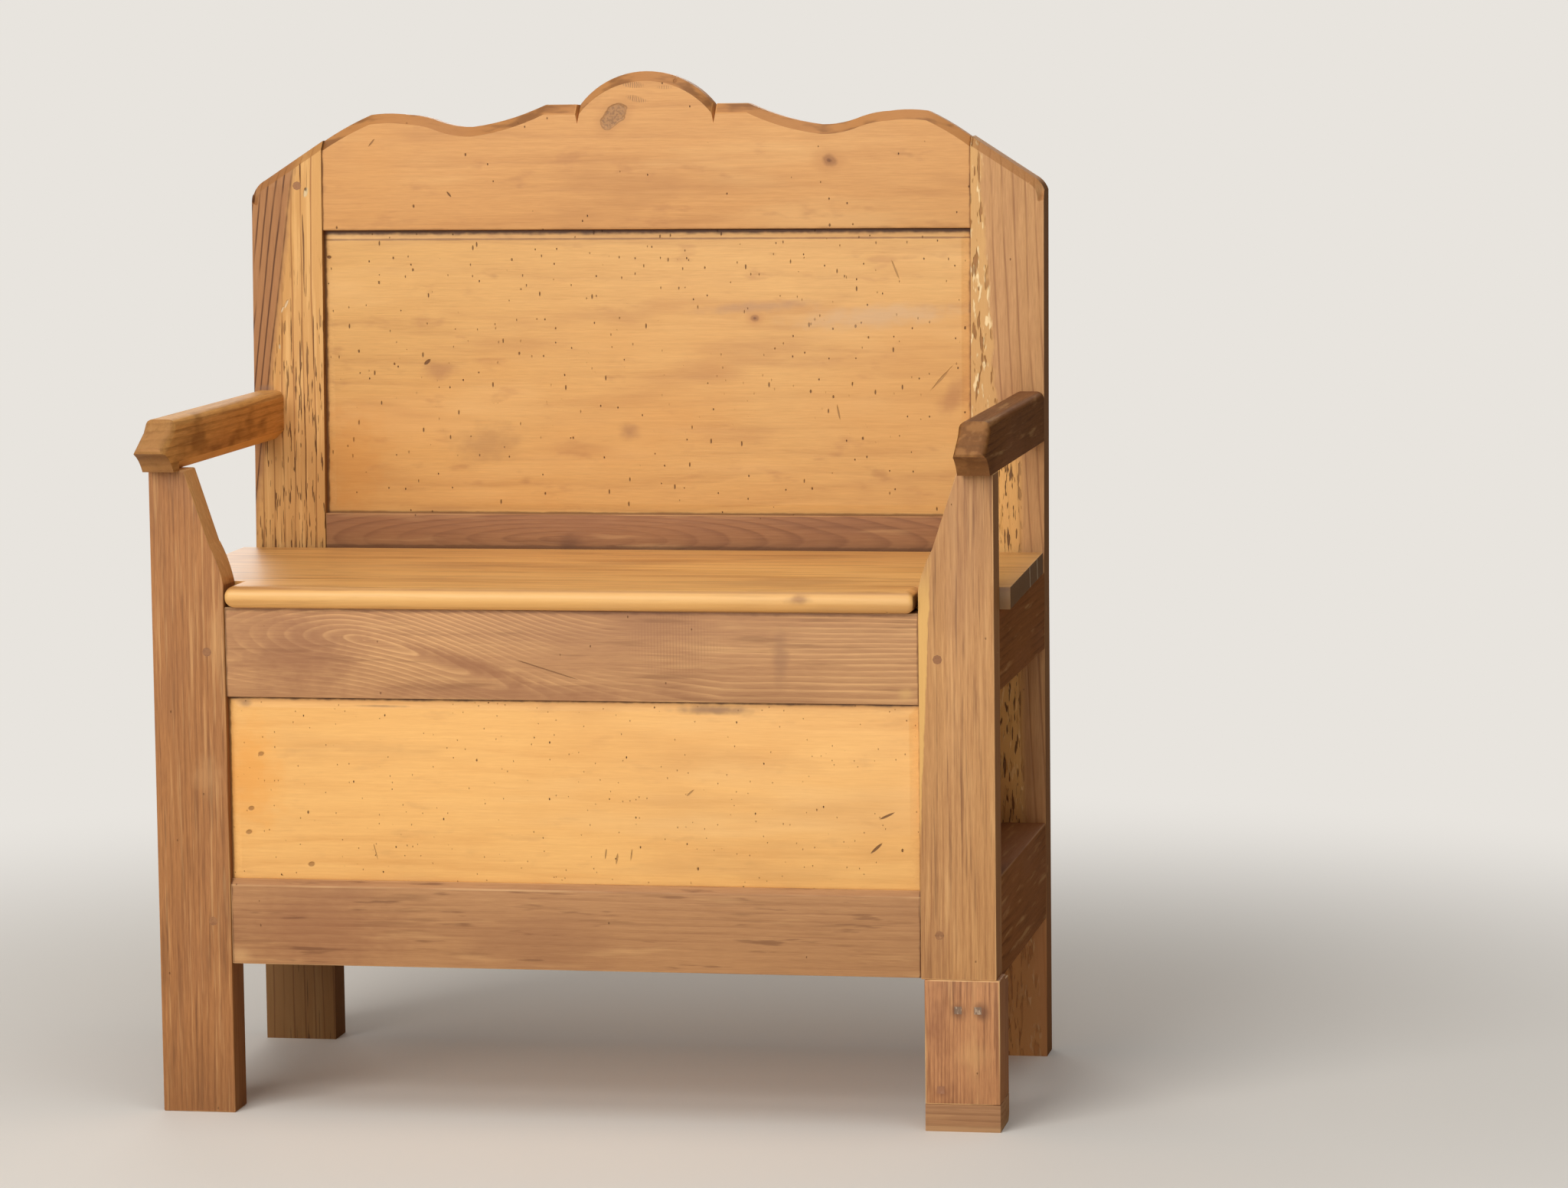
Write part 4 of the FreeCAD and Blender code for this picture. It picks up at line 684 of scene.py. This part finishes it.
left_post = post("two_toned_left_post", (182, 130, 80), (136, 90, 54), 11.3, -0.55)
edge = left_post.x - (left_post.z - 0.64) * 0.12 + left_post.ragged * 0.006
sapwood = edge.rise(-0.402, -0.392)
heartwood = edge.fall(-0.402, -0.392)
left_post.stain(heartwood, (172, 120, 78), 0.5)
left_post.figure(heartwood * left_post.broad(), left_post.x - left_post.z * 0.13, 0.0075, 0.0007,
                 (84, 48, 26), 1.0)
left_post.stain(sapwood, (220, 166, 98), 0.8)
left_post.stain(left_post.drift(24.0, 150.0, 3.0, 4.0).rise(0.50, 0.64) * sapwood, (238, 190, 122), 0.45)
left_post.figure(sapwood * left_post.broad(), left_post.x, 0.0110, 0.0006, (140, 84, 40), 0.7, seed=4.0)
left_post.checks(sapwood, along=9.0, aside=420.0, low=0.30, high=0.33, colour=(96, 54, 24))
worked = sapwood * left_post.z.rise(0.46, 0.52) * left_post.z.fall(0.66, 0.86)
left_post.checks(worked, along=34.0, aside=420.0, low=0.36, high=0.39, colour=(92, 50, 22), seed=5.0)
left_post.smudge(-0.398, 0.679, 0.012, 0.005, (140, 112, 92), 0.6)
left_post.smudge(-0.391, 0.893, 0.006, 0.006, (150, 106, 74), 0.5)
left_post.nick(-0.3745, 0.766, 0.0016, 0.0060, tilt=-24, colour=RAW_WOOD, amount=0.7)
left_post.nick(-0.3790, 0.760, 0.0012, 0.0040, tilt=-24, colour=RAW_WOOD, amount=0.6)
left_post.nick(-0.3525, 0.8800, 0.0030, 0.0066, tilt=-14, colour=(216, 194, 152), amount=0.8)
left_post.nick(-0.3528, 0.8830, 0.0014, 0.0020, colour=(104, 74, 50))
left_post.nick(-0.3825, 0.722, 0.0014, 0.0034, colour=RAW_WOOD, amount=0.7)
# The left post's dark foot is mostly painted shadow under the bench, and partly darker wood
left_post_finish = finish_post(left_post, (78, 46, 22))

right_post = post("pitted_right_post", (206, 156, 104), (164, 116, 74), 12.9, 0.20)
from_strip = right_post.x - 0.344 - (0.93 - right_post.z) * 0.066 + right_post.ragged * 0.010
strip = from_strip.fall(-0.003, 0.003)
right_post.figure((1.0 - strip) * right_post.broad(), right_post.x + right_post.z * 0.05, 0.0110, 0.0008,
                  (142, 94, 60), 0.6, seed=2.0)
right_post.stain(strip, (216, 168, 104), 0.7)
flecks = right_post.drift(4.0, 210.0, 2.0, 4.0).rise(0.58, 0.66) * strip
right_post.stain(flecks, (250, 222, 170), 0.85)
right_post.sink(flecks, -FLECK)
right_post.checks(strip, along=40.0, aside=230.0, low=0.36, high=0.42, colour=(150, 100, 52))
below_arm = right_post.z.fall(0.60, 0.64) * right_post.x.fall(0.380, 0.392)
right_post.stain(below_arm, (236, 182, 106), 0.7)
right_post.checks(below_arm, along=48.0, aside=360.0, low=0.37, high=0.41, colour=(84, 48, 22), seed=5.0)
right_post_finish = finish_post(right_post, (178, 116, 64))


def arm(name, pale, dark, seed):
    """An arm, with a browner beak, a pale chamfer and painted shade on its underside."""
    board = Board(name, "y", seed)
    frame_wood(board, pale, dark, board.z - 0.5, 0.1, 160, wander=0.01, fibre_share=1.5)
    board.streak((96, 58, 30), 2.0, 22.0, 0.50, 0.70, 0.5, seed=2.0)
    beak = board.front.fall(-0.45, -0.15)
    board.stain(beak, (138, 92, 50), 0.55)
    board.stain(beak * board.drift(1.2, 60.0, 2.0, 6.0).rise(0.45, 0.6), (176, 124, 72), 0.5)
    chamfer = abs(board.side).near(0.7, 0.2, 0.1) * board.up.fall(-0.5, -0.3)
    board.stain(chamfer, (232, 182, 110), 0.6)
    # Painted shade on the downward faces
    board.stain(board.up.fall(-0.9, -0.7), (104, 64, 32), 0.5)
    board.wear((196, 146, 92), 0.5)
    return board.wax(0.6, gloss=0.2)


# The arms are one wood: the left arm's paler colours are painted light, and the right arm's darker colours
# are painted shade
left_arm_finish = arm("lit_left_arm_wood", (222, 166, 96), (162, 114, 64), 13.7)
right_arm_finish = arm("shaded_right_arm_wood", (130, 82, 42), (84, 50, 24), 22.4)

foot = Board("reddish_spliced_foot", "z", 14.4)
frame_wood(foot, (206, 147, 97), (142, 90, 56), foot.aside - 0.2, 0.08, 300, wander=0.006, fibre_share=1.8,
           fibre=520.0)
foot.streak((108, 60, 34), 26.0, 260.0, 0.52, 0.66, 0.55, seed=3.0)
foot.streak((122, 70, 44), 1.6, 30.0, 0.50, 0.70, 0.45, seed=6.0)
foot.smudge(0.386, 0.073, 0.020, 0.018, (206, 156, 102), 0.45)
for x, z in ((0.373, 0.116), (0.3955, 0.117)):
    foot.smudge(x, z, 0.010, 0.011, (104, 66, 46), 0.7)
foot.smudge(0.358, 0.0385, 0.009, 0.008, (130, 80, 54), 0.6)
foot.corner_shade_and_dirt(abs(foot.z - foot_top), 0.0014, amount=0.6)
# Painted shade on the side faces
foot.stain(abs(foot.side).rise(0.6, 0.9), (120, 74, 44), 0.5)
foot.wear((228, 182, 126), 0.9)
foot_finish = foot.wax(0.5, gloss=0.3)

sole = Board("brown_foot_sole", "x", 17.2)
frame_wood(sole, (180, 134, 94), (136, 94, 62), sole.z - 0.2, 0.06, 180, wander=0.006)
sole.stain(sole.z.fall(0.003, 0.008), (196, 156, 112), 0.5)
sole_finish = sole.wax(0.6, gloss=0.2)

inner = pine("plain_inner_pine", (206, 164, 118), (176, 130, 88), 15.9, 30.0)
inner_finish = inner.wax(0.60)
peg = Board("peg_end_grain", "y", 16.6)
frame_wood(peg, (170, 118, 72), (118, 74, 44), peg.aside - 0.2, 0.06, 700)
peg_finish = peg.wax(0.5)
filler = Board("filled_nail_scars", "z", 18.1)
filler.grow((150, 122, 98), (74, 50, 38), filler.aside, 0.02, 400, ring_share=0.4, fibre_share=1.0)
filler.streak((196, 172, 146), 2.0, 300.0, 0.5, 0.62, 0.6)
filler.stain(filler.z.fall(0.05, 0.07), (160, 106, 72), 0.85)
filler_finish = filler.wax(0.55)
iron_finish = iron("dark_iron", (46, 42, 40), (84, 52, 36))

# Each board of the frame that shows gets worn arrises: its solid, name, slot, finish and how far it is eased
DRESSED = [
    ("crest_rail", "worn_crest", "honey_pine", crest_finish, 0.0010),
    ("back_panel", "waxed_back_panel", "honey_pine", back_panel_finish, 0.0008),
    ("front_panel", "waxed_front_panel", "honey_pine", front_panel_finish, 0.0008),
    ("seat_lid", "polished_seat_plank", "seat_wood", seat_finish, 0.0016),
    ("front_top_rail", "worn_front_top_rail", "rail_wood", top_rail_finish, 0.0010),
    ("front_low_rail", "worn_front_low_rail", "rail_wood", low_rail_finish, 0.0012),
    ("back_low_rail", "worn_back_low_rail", "rail_wood", back_rail_finish, 0.0012),
    ("side_top_rail_left", "worn_side_top_rail_left", "rail_wood", side_rail_finish, 0.0014),
    ("side_top_rail_right", "worn_side_top_rail_right", "rail_wood", side_rail_finish, 0.0014),
    ("side_low_rail_left", "worn_side_low_rail_left", "rail_wood", side_rail_finish, 0.0014),
    ("side_low_rail_right", "worn_side_low_rail_right", "rail_wood", side_rail_finish, 0.0014),
    ("front_leg_left", "worn_left_leg", "upright_wood", left_leg_finish, 0.0014),
    ("front_leg_right", "worn_right_leg", "upright_wood", right_leg_finish, 0.0014),
    ("rear_post_left", "two_toned_left_post", "upright_wood", left_post_finish, 0.0014),
    ("rear_post_right", "pitted_right_post", "upright_wood", right_post_finish, 0.0014),
    ("arm_left", "worn_left_arm", "upright_wood", left_arm_finish, 0.0036),
    ("arm_right", "worn_right_arm", "upright_wood", right_arm_finish, 0.0036),
    ("spliced_foot", "worn_spliced_foot", "foot_wood", foot_finish, 0.0012),
    ("foot_sole", "worn_foot_sole", "foot_wood", sole_finish, 0.0010),
]

for node, name, slot, finish, width in DRESSED:
    piece = cut_out(node, name)
    ease(piece, width)
    smooth(piece)
    piece.data.materials.append(finish)

dressed_nodes = {row[0] for row in DRESSED}
for name, solid in solids.items():
    if name in dressed_nodes:
        continue
    if name == "foot_nails":
        finish = filler_finish
    elif "peg" in name:
        finish = peg_finish
    elif "nails" in name or "screws" in name or "hinge" in name:
        finish = iron_finish
    else:
        finish = inner_finish
    solid.data.materials.clear()
    solid.data.materials.append(finish)


# Floor, light and camera

backdrop = tint(232, 228, 222)
FADE_START, FADE_END = 0.7, 2.0  # from the middle of the bench, in metres
FLOOR_RADIUS = 8

pale_floor = Finish(bpy.data.materials.new("pale_floor"))
where = pale_floor.line("TexCoord", {}, {}, output="Object")
spread = pale_floor.line("VectorMath", {"operation": "LENGTH"}, {0: where}, output="Value")
looked_at = pale_floor.line("LightPath", {}, {}, output="Is Camera Ray")
near_floor = pale_floor.line("BsdfDiffuse", {}, {"Color": backdrop})
far_floor = pale_floor.line("Emission", {}, {"Color": backdrop})
share = spread.rise(FADE_START, FADE_END) * looked_at
floor_finish = pale_floor.end(pale_floor.node("MixShader", {}, {0: share, 1: near_floor, 2: far_floor}))

bpy.ops.object.select_all(action="DESELECT")
bpy.ops.mesh.primitive_circle_add(vertices=64, radius=FLOOR_RADIUS, fill_type="NGON",
                                  location=(0, 0, cad_low.z))
floor = bpy.context.object
floor.name = "floor"
floor.data.materials.append(floor_finish)

# The world is the plain backdrop where it is looked at, and a soft warm light on the wood
world = bpy.data.worlds.new("studio")
bpy.context.scene.world = world
air = Finish(world)
rays = air.node("LightPath", {}, {})
looked_at, mirrored, seen_through = (
    Line(air, rays.outputs[ray]) for ray in ("Is Camera Ray", "Is Glossy Ray", "Is Transmission Ray"))
soft = air.line("Background", {}, {"Color": (1.0, 0.98, 0.95, 1), "Strength": 0.15})
shown = air.line("Background", {}, {"Color": backdrop})
seen = looked_at.most(mirrored).most(seen_through)
air.end(air.node("MixShader", {}, {0: seen, 1: soft, 2: shown}), "OutputWorld")


def lamp(name, place, target, size, power, colour):
    """A square area light that looks at its target."""
    light = bpy.data.lights.new(name, "AREA")
    light.size = size
    light.energy = power
    light.color = colour
    holder = bpy.data.objects.new(name, light)
    bpy.context.scene.collection.objects.link(holder)
    holder.location = place
    holder.rotation_euler = (Vector(target) - Vector(place)).to_track_quat("-Z", "Y").to_euler()


WARM, PLAIN = (1.0, 0.97, 0.93), (1.0, 0.98, 0.95)
bench_middle = (0, 0, 0.5)
lamp("window_light", (-1.6, -4.0, 2.7), bench_middle, 3.0, 126, WARM)
lamp("ceiling_light", (0.2, -0.9, 3.6), (0, -0.1, 0), 2.6, 46, PLAIN)
lamp("back_light", (-1.2, 4.2, 2.4), bench_middle, 2.4, 45, PLAIN)
lamp("room_light", (0.2, -5.0, 1.2), bench_middle, 2.2, 42, WARM)

# The camera, found from the corners of the front, the seat and the back in the photograph
CAMERA_PLACE = (1.0903, -5.0424, 1.0634)
YAW, PITCH, ROLL = 10.270, 6.368, -0.671
SENSOR_WIDTH, FOCAL_LENGTH = 36, 120.79  # in millimetres

scene = bpy.context.scene
scene.view_settings.view_transform = "Standard"
lens = bpy.data.cameras.new("camera")
lens.sensor_width = SENSOR_WIDTH
lens.lens = FOCAL_LENGTH
lens.clip_start = 0.1
lens.clip_end = 60
camera = bpy.data.objects.new("camera", lens)
scene.collection.objects.link(camera)
yaw, pitch, roll = (math.radians(angle) for angle in (YAW, PITCH, ROLL))
back = Vector((math.sin(yaw) * math.cos(pitch), -math.cos(yaw) * math.cos(pitch), math.sin(pitch)))
right = Vector((math.cos(yaw), math.sin(yaw), 0))
up = back.cross(right)
turned_right = right * math.cos(roll) + up * math.sin(roll)
turned_up = up * math.cos(roll) - right * math.sin(roll)
turn = Matrix((turned_right, turned_up, back)).transposed().to_4x4()
camera.matrix_world = Matrix.Translation(CAMERA_PLACE) @ turn
scene.camera = camera
